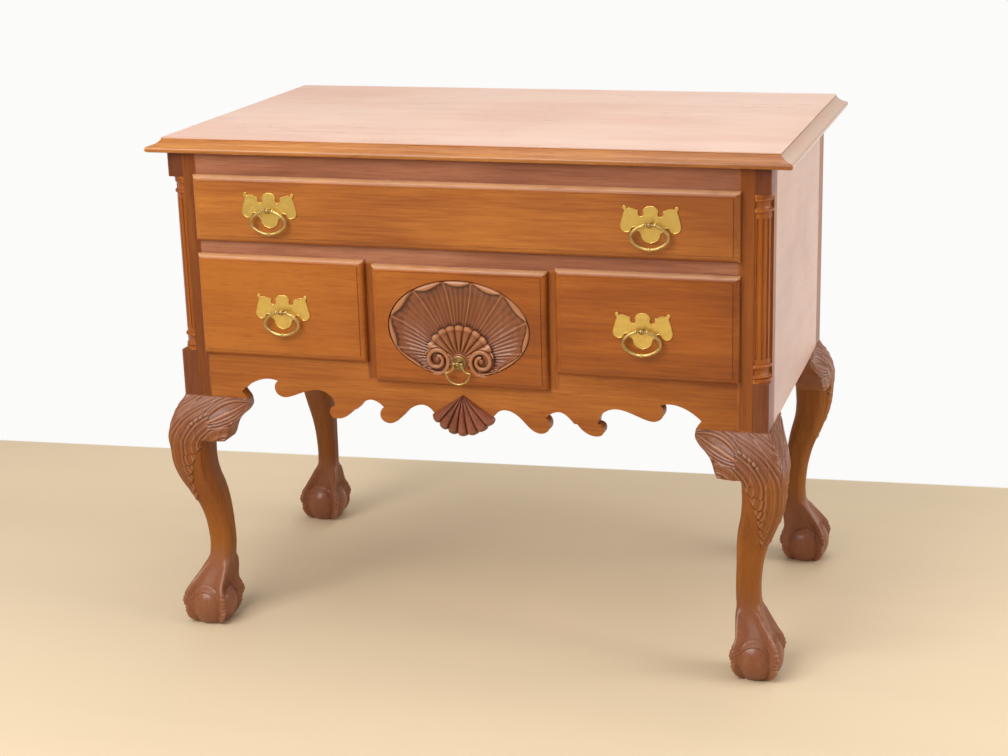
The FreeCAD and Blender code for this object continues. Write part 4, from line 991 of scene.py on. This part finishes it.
@dataclass(frozen=True)
class CarvedShell:
    """The shell let into the centre drawer: concave lobes, an inner fan and two scrolls.

    Ridges are the angles, in degrees, of the lines between the lobes. Hub is where the fan's rings start,
    and waist the fan's radius below the level of its middle. Seat is the height of the boss behind the
    pull. The profiles are knots of radius and height in front of the face.
    """
    face: float = DRAWER_FACE
    middle: float = 508.25
    half_width: float = 107.6
    half_height: float = 72.6
    recess: float = 11.8
    fan: float = 461.0
    fan_radius: float = 49.5
    fan_step: float = 180 / 11
    scroll: float = 33.5
    hub: float = 9.0
    waist: float = 16.0
    seat: float = 458.25
    seat_profile: Knots = ((13.0, -8.0), (13.0, -0.6), (12.4, 0.0), (10.0, 0.0), (3.0, 0.0))
    eye_profile: Knots = ((3.9, -5.0), (3.9, -0.4), (3.4, 0.7), (2.3, 1.3), (0.8, 1.5))
    ridges: tuple[float, ...] = (-41.0, -13.0, 9.0, 31.0, 56.5, 79.8, 100.2, 123.5, 149.0, 171.0, 193.0,
                                 221.0)

    def rim(self, a: Array) -> Array:
        """Distance from the fan's middle to the oval, the root of a quadratic in the ray's length.

        Args:
            a: Angles of the rays.

        Returns:
            The distance along each ray.
        """
        c, s = np.cos(a), np.sin(a)
        drop = self.fan - self.middle
        p = (c / self.half_width) ** 2 + (s / self.half_height) ** 2
        q = drop * s / self.half_height ** 2
        r = (drop / self.half_height) ** 2 - 1
        return (-q + np.sqrt(q * q - p * r)) / p

    def across(self, a: Array) -> Array:
        """Place across a lobe, from -1 on one ridge to 1 on the next."""
        place = np.interp(np.degrees(a), self.ridges, np.arange(len(self.ridges)))
        return 2 * (place % 1) - 1

    def lean(self, a: Array) -> Array:
        """Which way a curl of the rim leans: 1 on the right, -1 on the left."""
        return np.tanh(4 * np.cos(a))

    def relief(self, a: Array, r: Array, rim: Array, inner: Array, rib: Array) -> Array:
        """Height in front of the drawer's face.

        Args:
            a: Angle about the fan's middle.
            r: Distance from the fan's middle.
            rim: Distance of the oval at that angle.
            inner: Distance of the fan's edge at that angle.
            rib: Height of the fan's ribs at that angle, from 0 to 1.

        Returns:
            The height in millimetres.
        """
        t = self.across(a)
        s = rim - r
        hollow = -2.6 - 4.4 * smooth(s, 0, 22) + 1.6 * smooth(s, 34, 70)
        edge = 1 - np.abs(t)
        reeds = np.abs(np.cos(2.5 * math.pi * (t + 1))) ** 2.2
        line = np.exp(-((edge / 0.10) ** 2))
        fade = np.maximum(0.6 + 0.4 * smooth(s, 6, 34), line)
        reeded = hollow + (1.0 + 0.35 * line) * reeds * smooth(s, 0, 3) * fade
        lobes = reeded - 0.8 * (1 - t * t) * smooth(s, 4, 20)
        reach = 4.6 + np.maximum(rim - 60, 0) / 60 * 2.4
        width = 1.1 * reach * np.maximum(1 - t * t, 0) ** 1.25 * (1 - 0.45 * t * self.lean(a)) + 0.5
        curl = np.clip(s / width, 0, 1)
        lip = -2.2 + 3.7 * np.sin(math.pi * curl ** 0.8 * 0.74) - 1.0 * (1 - smooth(s, 0, 1.2))
        on_hollow = smooth(s - width, -0.3, 2.0)
        outer = lip * (1 - on_hollow) + lobes * on_hollow
        ratio = np.clip(r / self.fan_radius, 0, 1)
        dome = -3.6 + 4.4 * np.sin(math.pi * ratio ** 1.1 * 0.84)
        tip = 0.5 * smooth(r / inner, 0.86, 0.94) * (1 - smooth(r / inner, 0.97, 1.0))
        petal = dome + 5.2 * (rib - 0.75) * smooth(r, 6, 26) + tip
        height = np.where(r <= inner, petal, outer)
        for side in (-1, 1):
            off = np.hypot(r * np.cos(a) - side * self.scroll, r * np.sin(a))
            height = height + (-4.6 - height) * (1 - smooth(off, 16.5, 19.0))
        return height

    def build(self) -> bpy.types.Object:
        """The lobes and the inner fan: rings along rays from the fan's middle, with a back.

        Returns:
            The shell, with its cavity attribute.
        """
        a = np.radians(np.linspace(self.ridges[0], self.ridges[-1], 720))
        rim = self.rim(a) - 0.15
        t = self.across(a)
        rim = rim - 1.0 * np.abs(t) ** 10
        rib = np.abs(np.sin(math.pi * np.degrees(a) / self.fan_step)) ** 0.75
        low = np.minimum(np.degrees(a), 180 - np.degrees(a))
        inner = self.waist + (self.fan_radius - self.waist + 3.2 * rib) * smooth(low, -8, 7)
        inner = np.minimum(inner, rim - 8)
        first = self.hub + (inner - self.hub)[:, None] * np.linspace(0, 1, 34)[None]
        second = inner[:, None] + 0.35 + (rim - inner - 0.35)[:, None] * np.linspace(0, 1, 66)[None]
        r = np.concatenate([first, second], 1)
        angle = np.repeat(a[:, None], r.shape[1], 1)
        height = self.relief(angle, r, rim[:, None], inner[:, None], rib[:, None])
        back = np.full((a.size, 1), -self.recess)
        r = np.concatenate([r, r[:, -1:], r[:, :1]], 1)
        h = np.concatenate([height, back, back], 1)
        angle = np.repeat(a[:, None], r.shape[1], 1)
        rings = np.stack([r * np.cos(angle), self.face - h, self.fan + r * np.sin(angle)], -1)
        # Dirt, wear and painted light: painted shade in hollows and on the back faces, painted highlight on
        # the fan (0.18) and on the rim's curls (lip).
        cavity = np.full(r.shape, 0.3)
        s = rim[:, None] - r[:, :-2]
        deep = (1 - t ** 2) * np.clip(0.6 - 0.8 * t * self.lean(a), 0, 1)
        lip = np.exp(-(((s - 3.0) / 2.0) ** 2)) * deep[:, None] ** 1.5
        cavity[:, :-2] = crevices(height, 0.8) - 0.03 + 0.18 * (r[:, :-2] < inner[:, None]) + 0.45 * lip
        return skin("carved_shell", rings, {"cavity": cavity}, 60)

    def scroll_band(self, name: str, side: int) -> bpy.types.Object:
        """A scroll: a half-round band along a quadratic tail and a spiral of one and a half turns.

        Args:
            name: The piece's name.
            side: 1 for the right scroll, -1 for the left.

        Returns:
            The scroll, with its cavity attribute.
        """
        turns = np.linspace(0, 1.5, 190)
        radius = curve(turns, ((0, 21.8), (0.25, 16.4), (0.5, 14.4), (0.75, 13.6), (1.0, 10.8), (1.25, 7.8),
                               (1.5, 5.6)))
        angle = -math.pi / 2 - 2 * math.pi * turns
        spiral = np.stack([self.scroll + radius * np.cos(angle), radius * np.sin(angle)], -1)
        share = np.linspace(0, 1, 26)[:-1, None]
        tail = np.array([67.0, -16.5]) * (1 - share) ** 2 + 2 * np.array([51.0, -23.6]) * share * (1 - share)
        tail = tail + spiral[0] * share ** 2
        path = np.concatenate([tail, spiral])
        tangent = np.gradient(path, axis=0)
        tangent /= np.linalg.norm(tangent, axis=1, keepdims=True)
        normal = np.stack([-tangent[:, 1], tangent[:, 0]], -1)
        length = np.linspace(0, 1, len(path))
        width = curve(length, ((0, 1.2), (0.10, 2.9), (0.3, 3.9), (0.6, 3.6), (0.85, 3.2), (1, 2.8)))
        top = curve(length, ((0, -0.8), (0.12, 0.3), (0.3, 1.8), (0.7, 2.3), (1, 1.2)))
        turn = np.linspace(0, math.pi, 13)
        off = width[:, None] * np.cos(turn)[None]
        high = -5.0 + (top + 5.0)[:, None] * np.sin(turn)[None] ** 0.45
        flat = path[:, None] + off[..., None] * normal[:, None]
        rings = np.stack([side * flat[..., 0], self.face - high, self.fan + flat[..., 1]], -1)
        # Painted shade at the band's sides and painted highlight along its crest.
        cavity = 0.15 + 0.75 * np.sin(turn)[None] ** 0.8 + 0.0 * off
        return skin(name, rings, {"cavity": cavity})

    def turned(self, name: str, x: float, z: float, profile: Knots) -> bpy.types.Object:
        """A turned boss: a profile swept about an axis across the face.

        Args:
            name: The piece's name.
            x: The axis's place across the drawer, in millimetres.
            z: The axis's height.
            profile: Knots of radius and height in front of the face.

        Returns:
            The boss, with a level cavity attribute.
        """
        radius, height = np.array(profile, float).T
        a = np.linspace(0, 2 * math.pi, 40, endpoint=False)
        rings = np.stack([x + radius[:, None] * np.cos(a), np.repeat(self.face - height[:, None], a.size, 1),
                          z + radius[:, None] * np.sin(a)], -1)
        return skin(name, rings, {"cavity": np.full(rings.shape[:2], 0.5)}, 50)

    def ground(self) -> bpy.types.Object:
        """The drawer's own face between the lower lobes, as a shallow block in the oval recess.

        Returns:
            The block.
        """
        a = np.radians(np.linspace(-141.5, -38.5, 60))
        outer = self.rim(a) + 0.3
        inner = np.full(a.size, 4.0)
        r = np.stack([inner, outer, outer, inner], -1)
        h = np.array([0.0, 0.0, -self.recess, -self.recess]) - 0.02
        side = r * np.cos(a)[:, None]
        up = self.fan + r * np.sin(a)[:, None]
        rings = np.stack([side, self.face - h + 0 * r, up], -1)
        return skin("shell_ground", rings, None, 30)


@dataclass(frozen=True)
class Pendant:
    """The fan carved on the apron: seven ribs that spread from one apex and roll under at their ends."""
    face: float = CASE_FRONT
    apex: float = 405.5
    radius: float = 58.5
    spread: float = 56.0
    ribs: int = 7

    def build(self) -> bpy.types.Object:
        """Rings along rays from the apex, with the swell along the ray times a half-round rib as height.

        Returns:
            The pendant, with its cavity attribute.
        """
        a = np.linspace(-self.spread, self.spread, 300)
        place = (a + self.spread) / (2 * self.spread) * self.ribs
        across = 2 * (place % 1) - 1
        across[-1] = 1.0
        rib = np.sqrt(np.maximum(1 - np.abs(across) ** 2.2, 0))
        reach = self.radius + 4.5 * rib - 1.5 * np.abs(a / self.spread)
        share = np.linspace(0.02, 1, 60)
        r = reach[:, None] * share[None]
        swell = 4.0 + 11.0 * np.sin(math.pi / 2 * np.minimum(share / 0.80, 1)) ** 1.1
        roll = np.sqrt(np.maximum(1 - (np.maximum(share - 0.86, 0) / 0.14) ** 2, 0))
        cross = 1 - 0.50 * (a / self.spread) ** 2
        height = swell[None] * cross[:, None] * (0.46 + 0.54 * rib[:, None]) * roll[None]
        height = height * np.minimum(1, 1.05 - np.abs(a / self.spread)[:, None] ** 16)
        angle = np.radians(a)[:, None]
        back = np.full((a.size, 1), -1.0)
        radius = np.concatenate([r, r[:, -1:], r[:, :1]], 1)
        out = np.concatenate([height, back, back], 1)
        rings = np.stack([radius * np.sin(angle), self.face - out, self.apex - radius * np.cos(angle)], -1)
        # Dirt, wear and painted light from the relief, eased off near the rolled ends; the back faces get
        # painted shade.
        cavity = np.full(radius.shape, 0.3)
        cavity[:, :-2] = 0.5 + (crevices(height, 0.7) - 0.5) * (1 - smooth(share, 0.82, 0.9))
        return skin("carved_pendant", rings, {"cavity": cavity}, 60)


# ---- the case, the drawers and the pulls ----

@dataclass(frozen=True)
class Case:
    """The case: boards that stay as packed, and carved legs and brackets in their places.

    Slims are the knots of Leg.slim for each leg, and shanks the wood of its plain part: on the rear legs a
    darker copy for painted shade on the left and a paler copy for painted light on the right.
    """
    shanks: ClassVar[dict[tuple[str, str], Wood]] = {
        ("front", "left"): SHANK_WOOD, ("front", "right"): SHANK_WOOD,
        ("rear", "left"): SHADED_SHANK_WOOD, ("rear", "right"): LIT_SHANK_WOOD,
    }
    slims: ClassVar[dict[tuple[str, str], Knots]] = {
        ("front", "left"): ((0, 0), (60, 0), (100, 0.7), (160, 0.7), (250, 0), (400, 0)),
        ("front", "right"): ((0, 0), (60, 0), (100, 1.5), (160, 1.5), (215, 0.3), (250, 0), (400, 0)),
        ("rear", "left"): ((0, 0), (60, 0), (100, 2.5), (200, 2.6), (250, 3.2), (277, 2.2), (300, 1.4),
                           (340, 0)),
        ("rear", "right"): ((0, 0), (60, 0), (100, 2.6), (200, 2.6), (250, 3.2), (277, 2.2), (300, 1.4),
                            (340, 0)),
    }

    def boards(self) -> dict[str, Wood]:
        """The wood of each board of the case.

        Returns:
            The wood by the board's node, in the order in which they are dressed.
        """
        names = {
            TOP_WOOD: ("top",),
            RAIL_WOOD: ("top_rail", "drawer_blade"),
            APRON_WOOD: ("apron",),
            FRAME_WOOD: ("divider_left", "divider_right"),
            SIDE_WOOD_PAINTED_SHEEN: ("side_panel_left", "side_panel_right"),
            BLOCK_WOOD: ("column_plinths",),
            COLUMN_WOOD: ("quarter_column_left", "quarter_column_right"),
            PANEL_WOOD: ("back_panel",),
            INNER_WOOD: ("long_drawer_runners", "lower_drawer_runners", "drawer_guides",
                         "long_drawer_kickers", "glue_blocks"),
        }
        return {name: wood for wood, group in names.items() for name in group}

    def build(self) -> None:
        """Dresses the boards and builds the four legs with their brackets."""
        for k, (name, wood) in enumerate(self.boards().items()):
            wood.board(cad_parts[name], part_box(name), 1.7 * k)
            LOG.info("board %s", name)
        STEEL.dress(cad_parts["top_screws"], 0.0)
        for place, y, outward, recessed in (("front", CASE_FRONT, -1, True), ("rear", CASE_BACK, 1, False)):
            for hand, side in (("left", -1), ("right", 1)):
                leg = Leg((side * CASE_HALF_WIDTH, y), (side, outward), slim=self.slims[place, hand])
                self.leg(leg, place, hand, recessed, Carving(CARVED_WOOD, self.shanks[place, hand]))

    def leg(self, leg: Leg, place: str, hand: str, recessed: bool, carving: Carving) -> None:
        """One leg with its post and brackets.

        Args:
            leg: The leg's shape.
            place: Whether it stands at the front or the rear.
            hand: Whether it stands on the left or the right.
            recessed: Whether its post makes room for a quarter column.
            carving: The finish of what is carved.
        """
        side, outward = leg.outward
        name = f"{place}_{hand}"
        carved = leg.build(f"carved_leg_{name}")
        carving.dress(carved, 3.3 * side + outward)
        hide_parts(f"leg_{name}")
        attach(carved, "case")
        post = leg.upright(f"post_{name}", recessed)
        low, high = np.array(post.bound_box).min(0), np.array(post.bound_box).max(0)
        # The left posts get the darker copy of the frame wood: painted shade.
        wood = FRAME_WOOD if side > 0 else SHADED_FRAME_WOOD
        wood.board(post, (tuple(low), tuple(high)), 2.9 * side + outward)
        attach(post, "case")
        inner_x = side * (CASE_HALF_WIDTH - POST_SIDE)
        inner_y = leg.corner[1] - outward * POST_SIDE
        plans = [Bracket((leg.corner[0], inner_y), (0, -outward), (side, 0), leg)]
        node = f"knee_bracket_rear_{hand}"
        if recessed:
            plans.append(Bracket((inner_x, leg.corner[1]), (-side, 0), (0, outward), leg))
            node = f"knee_brackets_front_{hand}"
        for k, plan in enumerate(plans):
            bracket = plan.build(f"carved_bracket_{name}_{k + 1}")
            carving.dress(bracket, 1.1 * k + side)
            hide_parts(node)
            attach(bracket, "case")
        LOG.info("leg %s", name)


@dataclass(frozen=True)
class BatwingPlate:
    """A cast plate with two toothed wings and a shield below, its edge raised in a thin bead.

    From start, each step goes to its second point about the post: along the circle through its first
    point, or straight where that is None. Sunk is how far the back reaches into the drawer's face.
    """
    face: float = DRAWER_FACE
    sunk: float = 0.4
    start: tuple[float, float] = (0.0, 25.4)
    steps: tuple = (((7.4, 23.6), (11.2, 18.4)), (None, (10.6, 16.2)), ((14.0, 10.6), (17.4, 16.2)),
                    (None, (17.6, 17.2)), ((18.9, 19.3), (20.4, 17.4)), ((21.8, 20.0), (23.3, 18.2)),
                    ((24.9, 21.1), (26.3, 19.2)), ((27.9, 22.0), (29.3, 20.3)),
                    ((30.7, 22.4), (32.2, 20.9)), (None, (34.6, 21.8)), ((38.4, 25.2), (38.9, 20.8)),
                    (None, (37.2, 18.4)), ((39.9, 10.5), (42.3, 1.0)), ((41.6, -8.5), (34.8, -12.4)),
                    ((30.2, -11.2), (27.2, -7.4)), ((23.5, -4.8), (20.4, -6.2)), (None, (19.6, -9.8)),
                    ((15.4, -12.2), (13.4, -17.6)), ((10.2, -22.8), (4.8, -25.8)),
                    ((2.6, -26.6), (0.0, -27.4)))
    thickness: float = 1.3
    bead: float = 0.55

    def arc(self, a: Array, b: Array | None, c: Array) -> Array:
        """Points of the circle about the centre that is equally far from three points.

        Args:
            a: Where the arc starts.
            b: A point on its way, or None for a straight line.
            c: Where it ends.

        Returns:
            Points from the first to just before the last.
        """
        if b is None:
            return a + (c - a) * np.linspace(0, 1, 6, endpoint=False)[:, None]
        d = 2 * (a[0] * (b[1] - c[1]) + b[0] * (c[1] - a[1]) + c[0] * (a[1] - b[1]))
        squares = np.array([a @ a, b @ b, c @ c])
        x = squares @ np.array([b[1] - c[1], c[1] - a[1], a[1] - b[1]]) / d
        y = squares @ np.array([c[0] - b[0], a[0] - c[0], b[0] - a[0]]) / d
        turn = np.unwrap([math.atan2(q[1] - y, q[0] - x) for q in (a, b, c)])
        way = np.linspace(turn[0], turn[2], 10, endpoint=False)
        return np.array([x, y]) + np.hypot(a[0] - x, a[1] - y) * np.stack([np.cos(way), np.sin(way)], -1)

    def outline(self) -> Array:
        """The whole outline about the post, its left half the mirror of its right half.

        Returns:
            Its points, clockwise from the top.
        """
        here, points = np.array(self.start), []
        for middle, end in self.steps:
            points.append(self.arc(here, None if middle is None else np.array(middle), np.array(end)))
            here = np.array(end)
        half = np.concatenate([*points, here[None]])
        return np.concatenate([half, half[-2:0:-1] * (-1, 1)])

    def build(self, name: str, drawer: str, seed: float) -> None:
        """A slab with the outline's shape, and a bead swept along its edge as circles about the path.

        Args:
            name: The pull's name.
            drawer: The drawer that it rides on.
            seed: Shifts the tarnish.
        """
        low, high = (np.array(corner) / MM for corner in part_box(name + "_post"))
        path = self.outline() + (low + high)[[0, 2]] / 2
        count = len(path)
        slab = [np.insert(path, 1, self.face - out, axis=1) for out in (-self.sunk, self.thickness)]
        ring = np.arange(count)
        following = (ring + 1) % count
        quads = np.stack([ring, following, count + following, count + ring], -1)
        sides = [tuple(range(count)), tuple(range(count, 2 * count))]
        plate = new_piece("plate_" + name, (np.concatenate(slab) * MM).tolist(), quads.tolist() + sides)
        outwards(plate)
        along = np.roll(path, -1, 0) - np.roll(path, 1, 0)
        inward = np.stack([along[:, 1], -along[:, 0]], -1) / np.linalg.norm(along, axis=1, keepdims=True)
        turn = np.linspace(0, 2 * math.pi, 9, endpoint=False)
        flat = path[:, None] + inward[:, None] * (self.bead + self.bead * np.cos(turn))[None, :, None]
        depth = np.repeat(self.face - self.thickness - self.bead * np.sin(turn)[None], count, 0)
        rings = np.stack([flat[..., 0], depth, flat[..., 1]], -1)
        bead = skin("plate_bead_" + name, np.concatenate([rings, rings[:1]]), None, 60)
        for piece in (plate, bead):
            BRASS.dress(piece, seed)
            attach(piece, drawer)
        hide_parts(name + "_plate")


@dataclass(frozen=True)
class Drawers:
    """The four drawers, their carving and their pulls, each pull with the drawer that it is on."""
    names: tuple[str, ...] = ("long_drawer", "left_drawer", "shell_drawer", "right_drawer")
    pulls: tuple[tuple[str, str], ...] = (
        ("long_left_pull", "long_drawer"), ("long_right_pull", "long_drawer"), ("left_pull", "left_drawer"),
        ("right_pull", "right_drawer"), ("shell_pull", "shell_drawer"))

    def front_seed(self, name: str) -> float:
        """What shifts the figure of a drawer's front."""
        return 11.3 + 2.3 * self.names.index(name)

    def build(self) -> None:
        """Dresses the boards and the brass, and builds the shell and the pendant."""
        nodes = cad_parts
        for k, name in enumerate(self.names):
            wood = LONG_DRAWER_WOOD if name == "long_drawer" else DRAWER_WOOD
            wood.board(nodes[name + "_front"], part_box(name + "_front"), self.front_seed(name))
            for part, inner in (("sides", INNER_WOOD), ("back", PANEL_WOOD), ("bottom", PANEL_WOOD)):
                inner.board(nodes[f"{name}_{part}"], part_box(f"{name}_{part}"), 20.1 + k)
            LOG.info("drawer %s", name)
        for k, (name, drawer) in enumerate(self.pulls):
            if name == "shell_pull":
                DARK_BRASS.dress(nodes[name + "_plate"], 1.0 * k)
            else:
                BatwingPlate().build(name, drawer, 1.0 * k)
            BAIL_BRASS.dress(nodes[name + "_bail"], 1.0 * k + 0.5)
            DARK_BRASS.dress(nodes[name + "_post"], 1.0 * k + 0.2)
            LOG.info("pull %s", name)
        self.carvings()

    def carvings(self) -> None:
        """The carved shell with its scrolls, and the pendant below it."""
        shell = CarvedShell()
        # The shell's paler ridge tone is wear and painted highlight.
        carving = Carving(SHELL_WOOD, ridge=(0.62, 0.29, 0.135))
        fan = shell.build()
        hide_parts("shell_carving")
        scrolls = [shell.scroll_band("shell_scroll_left", -1), shell.scroll_band("shell_scroll_right", 1)]
        pieces = [fan, *scrolls]
        for side, word in ((-1, "left"), (1, "right")):
            eye = shell.turned(f"shell_scroll_eye_{word}", side * shell.scroll, shell.fan, shell.eye_profile)
            pieces.append(eye)
        pieces.append(shell.turned("shell_seat", 0.0, shell.seat, shell.seat_profile))
        for k, piece in enumerate(pieces):
            carving.dress(piece, 4.4 + k)
            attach(piece, "shell_drawer")
        ground = shell.ground()
        DRAWER_WOOD.board(ground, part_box("shell_drawer_front"), self.front_seed("shell_drawer"))
        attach(ground, "shell_drawer")
        pendant = Pendant().build()
        Carving(PENDANT_WOOD).dress(pendant, 7.7)
        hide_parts("pendant_shell")
        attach(pendant, "case")
        LOG.info("shell and pendant")


# ---- room ----

@dataclass(frozen=True)
class Lamp:
    """A square soft lamp, with its size in metres and its power in watts."""
    name: str
    spot: Point
    size: float
    power: float
    tint: Colour

    def build(self, target: Point) -> None:
        """Hangs the lamp, facing a place.

        Args:
            target: The place that it faces, in metres.
        """
        lamp = bpy.data.lights.new(self.name, "AREA")
        lamp.shape = "SQUARE"
        lamp.size = self.size
        lamp.energy = self.power
        lamp.color = self.tint
        holder = bpy.data.objects.new(self.name, lamp)
        holder.location = self.spot
        holder.rotation_mode = "QUATERNION"
        direction = np.array(target) - np.array(self.spot)
        holder.rotation_quaternion = Vector(direction).to_track_quat("-Z", "Y")
        bpy.context.scene.collection.objects.link(holder)


@dataclass(frozen=True)
class Room:
    """A pale floor that turns white behind the piece, soft lamps, and the camera.

    Wall_start and wall_end are two places on the line where the floor turns white. Lengths are in metres.
    """
    lamps: tuple[Lamp, ...] = (
        Lamp("key", (-0.85, -2.1, 2.15), 1.8, 68.0, (1.0, 0.97, 0.93)),
        Lamp("side", (3.2, 0.05, 1.7), 2.0, 54.0, (1.0, 0.98, 0.95)),
        Lamp("top", (0.25, 0.2, 3.2), 3.2, 46.0, (1.0, 0.98, 0.95)),
        Lamp("back", (0.2, 2.6, 3.3), 2.4, 18.0, (1.0, 0.98, 0.96)),
    )
    target: Point = (0.0, 0.0, 0.45)
    ambient: float = 0.32
    reach: float = 20.0
    floor: Colour = (0.72, 0.585, 0.405)
    white: Colour = (0.97, 0.965, 0.955)
    paint: Colour = (0.85, 0.84, 0.82)
    sky: Colour = (1.0, 0.985, 0.96)
    wall_start: tuple[float, float] = (-1.273, 0.481)
    wall_end: tuple[float, float] = (0.750, 0.642)
    eye: Point = (0.8671, -2.8162, 1.2305)
    forward: Point = (-0.28795378, 0.91424817, -0.28501387)
    right: Point = (0.95581152, 0.29278332, -0.02650018)
    lens: float = 68.43

    def build_floor(self) -> None:
        """One large sheet, pale wood-coloured in front and white where the wall would stand."""
        r = self.reach
        piece = new_piece("floor", [(-r, -r, 0), (r, -r, 0), (r, r, 0), (-r, r, 0)], [(0, 1, 2, 3)])
        shader = Shader("floor")
        (x0, y0), (x1, y1) = self.wall_start, self.wall_end
        slope = (y1 - y0) / (x1 - x0)
        beyond = (shader.axis("Y") - (shader.axis("X") - x0) * slope).rise(y0 - 0.004, y0 + 0.004)
        veil = shader.noise((0.8, 5.0, 1.0), 3.0, 0.0)
        tone = shader.mix(veil.rise(0.3, 0.7, 0.0, 0.25), self.floor, tuple(v * 0.86 for v in self.floor))
        shader.set(shader.surface, {"Base Color": tone, "Roughness": 0.55, "Specular IOR Level": 0.3})
        paths = shader.add("LightPath", {}, {})
        glossy = Value(shader, paths.outputs["Is Glossy Ray"])
        seen = Value(shader, paths.outputs["Is Camera Ray"]).most(glossy)
        white = shader.add("Emission", {}, {"Color": (*self.white, 1.0), "Strength": 1.0})
        paint = shader.add("BsdfDiffuse", {}, {"Color": (*self.paint, 1.0)})
        wall = shader.add("MixShader", {}, {0: seen, 1: paint.outputs[0], 2: white.outputs[0]})
        both = shader.add("MixShader", {}, {0: beyond, 1: shader.surface.outputs[0], 2: wall.outputs[0]})
        output = shader.tree.nodes["Material Output"]
        shader.set(output, {"Surface": both.outputs[0]})
        wear(piece, shader.material)

    def build_lamps(self) -> None:
        """White surroundings, and four soft lamps: in front, on the right, above and behind."""
        world = bpy.data.worlds.new("room")
        bpy.context.scene.world = world
        world.use_nodes = True
        surroundings = world.node_tree.nodes["Background"]
        surroundings.inputs["Color"].default_value = (*self.sky, 1.0)
        surroundings.inputs["Strength"].default_value = self.ambient
        for lamp in self.lamps:
            lamp.build(self.target)

    def build_camera(self) -> None:
        """The camera, slightly rolled, looking down at the front from the right."""
        data = bpy.data.cameras.new("camera")
        data.lens = self.lens
        camera = bpy.data.objects.new("camera", data)
        forward, right = np.array(self.forward), np.array(self.right)
        up = np.cross(right, forward)
        turn = Matrix(np.stack([right, up, -forward], 1).tolist()).to_4x4()
        camera.matrix_world = Matrix.Translation(self.eye) @ turn
        bpy.context.scene.collection.objects.link(camera)
        bpy.context.scene.camera = camera

    def build(self) -> None:
        """Floor, lamps and camera."""
        self.build_floor()
        self.build_lamps()
        self.build_camera()
        bpy.context.scene.view_settings.view_transform = "Standard"
        LOG.info("room")


def main() -> None:
    """Builds the room, the case and the drawers in order."""
    logging.basicConfig(level=logging.INFO)
    Room().build()
    Case().build()
    Drawers().build()


if __name__ == "__main__":
    main()
